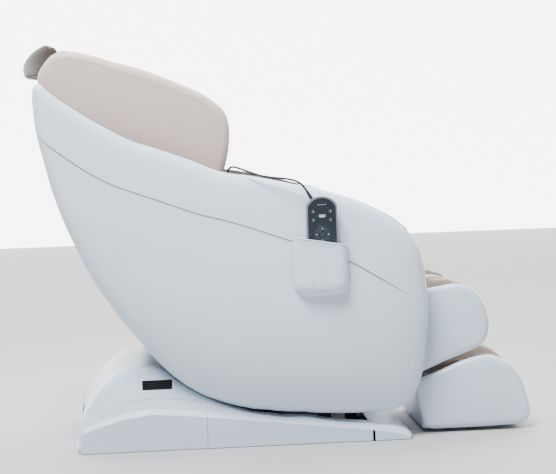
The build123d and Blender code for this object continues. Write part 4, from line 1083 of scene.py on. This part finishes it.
def makeScrews():
    v = screwValues
    parts = []
    for side in sides.values():
        for x, z in v["places"]:
            tree = baseTree if x < baseValues["rearSeam"] else None
            y = -0.3122 if tree is None else touch(tree, (x, -0.5, z), (0, 1, 0), 0.0002).y
            work = bmesh.new()
            bmesh.ops.create_cone(work, cap_ends=True, segments=20, radius1=v["radius"], radius2=v["radius"] * 0.75,
                                  depth=v["height"])
            turn = Matrix.Rotation(math.radians(90 if side < 0 else -90), 4, "X")
            bmesh.ops.transform(work, matrix=Matrix.Translation((x, -side * y, z)) @ turn, verts=work.verts)
            mesh = bpy.data.meshes.new("screw")
            work.to_mesh(mesh)
            work.free()
            head = bpy.data.objects.new("screw", mesh)
            bpy.context.collection.objects.link(head)
            parts.append(head)
    finishPiece(joinPieces("baseScrews", parts), "base", "base_white")


makeScrews()
print("base covers are made")

# The remote's pouch and its strap, over the near arm

pouchValues = {"left": 0.026, "right": 0.178, "bottom": 0.438, "mouthLeft": 0.600, "mouthRight": 0.574,
               "back": -0.3812, "front": -0.4090, "edge": 0.026, "sheet": 0.0018, "strapTop": (0.048, 0.160),
               "strapLow": (0.034, 0.170), "strapEnd": 0.560}


def sheetPiece(name, rows, thick, angle=60):
    vertices = [spot for row in rows for spot in row]
    width = len(rows[0])
    faces = []
    for i in range(len(rows) - 1):
        for j in range(width - 1):
            a = i * width + j
            faces.append((a, a + 1, a + width + 1, a + width))
    piece = addPiece(name, vertices, faces, angle)
    thicken = piece.modifiers.new("thickness", "SOLIDIFY")
    thicken.thickness = thick
    thicken.offset = 0
    applyModifiers(piece, angle)
    return piece


def pouchSpot(u, v):
    p = pouchValues
    top = p["mouthLeft"] + (p["mouthRight"] - p["mouthLeft"]) * u
    corner = 0.016 * (abs(2 * u - 1) ** 6)
    low = p["bottom"] + corner - 0.006 * math.sin(math.pi * u)
    x = p["left"] + (p["right"] - p["left"]) * u + 0.004 * (0.5 - u) * math.sin(math.pi * v)
    return x, low + (top - low) * v


def makePouch():
    p = pouchValues
    front, back = [], []
    for j in range(37):
        v = j / 36
        frontRow, backRow = [], []
        for i in range(41):
            u = i / 40
            x, z = pouchSpot(u, v)
            fromSide = min(x - p["left"], p["right"] - x)
            fromLow = z - pouchSpot(u, 0)[1]
            lift = bow(fromSide / p["edge"]) * bow(fromLow / 0.034)
            fold = 0.0012 * math.sin(26 * u + 5 * v) * math.exp(-((v - 0.15) / 0.25) ** 2)
            frontRow.append((x, p["back"] - 0.0015 + (p["front"] - p["back"]) * lift - fold * lift, z))
            backRow.append((x, p["back"], z))
        front.append(frontRow)
        back.append(backRow)
    parts = [sheetPiece("pouchFront", front, p["sheet"]), sheetPiece("pouchBack", back, p["sheet"])]
    rim = [Vector(spot) for spot in [row[0] for row in reversed(front)] + front[0][1:-1] + [row[-1] for row in front]]
    parts.append(tubeAlong("pouchEdge", rim, [0.0017] * len(rim), 8))
    hem = [Vector(spot) + Vector((0, -0.0004, -0.0012)) for spot in front[-1]]
    parts.append(tubeAlong("pouchHem", hem, [0.0022] * len(hem), 8))
    pouch = joinPieces("remotePouch", parts)
    finishPiece(pouch, "seat_module", "shell_white", stands=["remote_pocket"])
    under = [Vector(spot) + Vector((0, -0.0014, 0)) for spot in front[-4][2:-2]]
    around = [Vector(row[2]) + Vector((0, -0.0016, 0)) for row in reversed(front[3:-4])]
    around += [Vector(spot) + Vector((0, -0.0016, 0)) for spot in front[3][3:-3]]
    around += [Vector(row[-3]) + Vector((0, -0.0016, 0)) for row in front[3:-4]]
    stitchPaths("pouchStitches", [under, around], "seat_module", "shell_white", "thread_pale",
                {"stitchLength": 0.0045, "stitchGap": 0.0025, "stitchRadius": 0.0005})


def makeStrap():
    p = pouchValues
    tree = shellTrees["right"]
    columns = []
    for i in range(21):
        u = i / 20
        topX = p["strapTop"][0] + (p["strapTop"][1] - p["strapTop"][0]) * u
        lowX = p["strapLow"][0] + (p["strapLow"][1] - p["strapLow"][0]) * u
        column = []
        for y in (-0.3262, -0.329, -0.333, -0.338, -0.344, -0.350):
            hit = touch(tree, (topX, y, 1.5), (0, 0, -1), 0.0030)
            column.append(hit)
        startZ = column[-1].z - 0.002
        for k in range(1, 25):
            t = k / 24
            z = startZ + (p["strapEnd"] - startZ) * t
            hit = touch(tree, (topX + (lowX - topX) * t, -0.6, z), (0, 1, 0), 0.0030)
            if hit is not None and t > 0.55:
                hit.y = hit.y + (p["back"] + 0.0012 - hit.y) * easeStep(0.55, 0.9, t)
            column.append(hit)
        columns.append(column)
    rows = [[tuple(columns[i][j]) for i in range(21)] for j in range(len(columns[0]))]
    strap = sheetPiece("pouchStrap", rows, 0.0028)
    finishPiece(strap, "seat_module", "shell_white")
    edges = [[Vector(row[k]) + Vector((0, -0.0012, 0.0002)) for row in rows[1:]] for k in (1, -2)]
    stitchPaths("strapStitches", edges, "seat_module", "shell_white", "thread_pale",
                {"stitchLength": 0.0045, "stitchGap": 0.0025, "stitchRadius": 0.0005})


makePouch()
makeStrap()
print("the pouch is made")

# Small plain marks on the remote's face

markValues = {"across": 0.107 * 1.0, "ringUp": 0.484 + 0.122, "front": -0.4056, "proud": 0.0005}


def makeMarks():
    v = markValues
    parts = []

    def mark(x, z, wide, tall, front):
        parts.append(roundedBlock("mark", (x - wide / 2, front - v["proud"], z - tall / 2),
                                  (x + wide / 2, front, z + tall / 2), min(wide, tall) * 0.2, 1))

    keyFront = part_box("remote_ring")[0][1]
    for k in range(4):
        turn = math.radians(90 * k)
        mark(v["across"] + 0.0165 * math.cos(turn), v["ringUp"] + 0.0165 * math.sin(turn), 0.0034, 0.0034, keyFront)
    for across, up in ((-0.024, 0.186), (0.024, 0.186), (-0.024, 0.162), (0.024, 0.162)):
        mark(v["across"] + across, 0.484 + up, 0.0050, 0.0012, keyFront)
        mark(v["across"] + across, 0.484 + up, 0.0012, 0.0050, keyFront)
    for across in (-0.009, 0.0, 0.009):
        mark(v["across"] + across, 0.484 + 0.205, 0.0055, 0.0016, v["front"])
    mark(v["across"], 0.484 + 0.174, 0.0180, 0.0080, v["front"])
    marks = joinPieces("remoteMarks", parts)
    finishPiece(marks, "seat_module", "key_navy", "print_grey")


makeMarks()
print("the remote is marked")
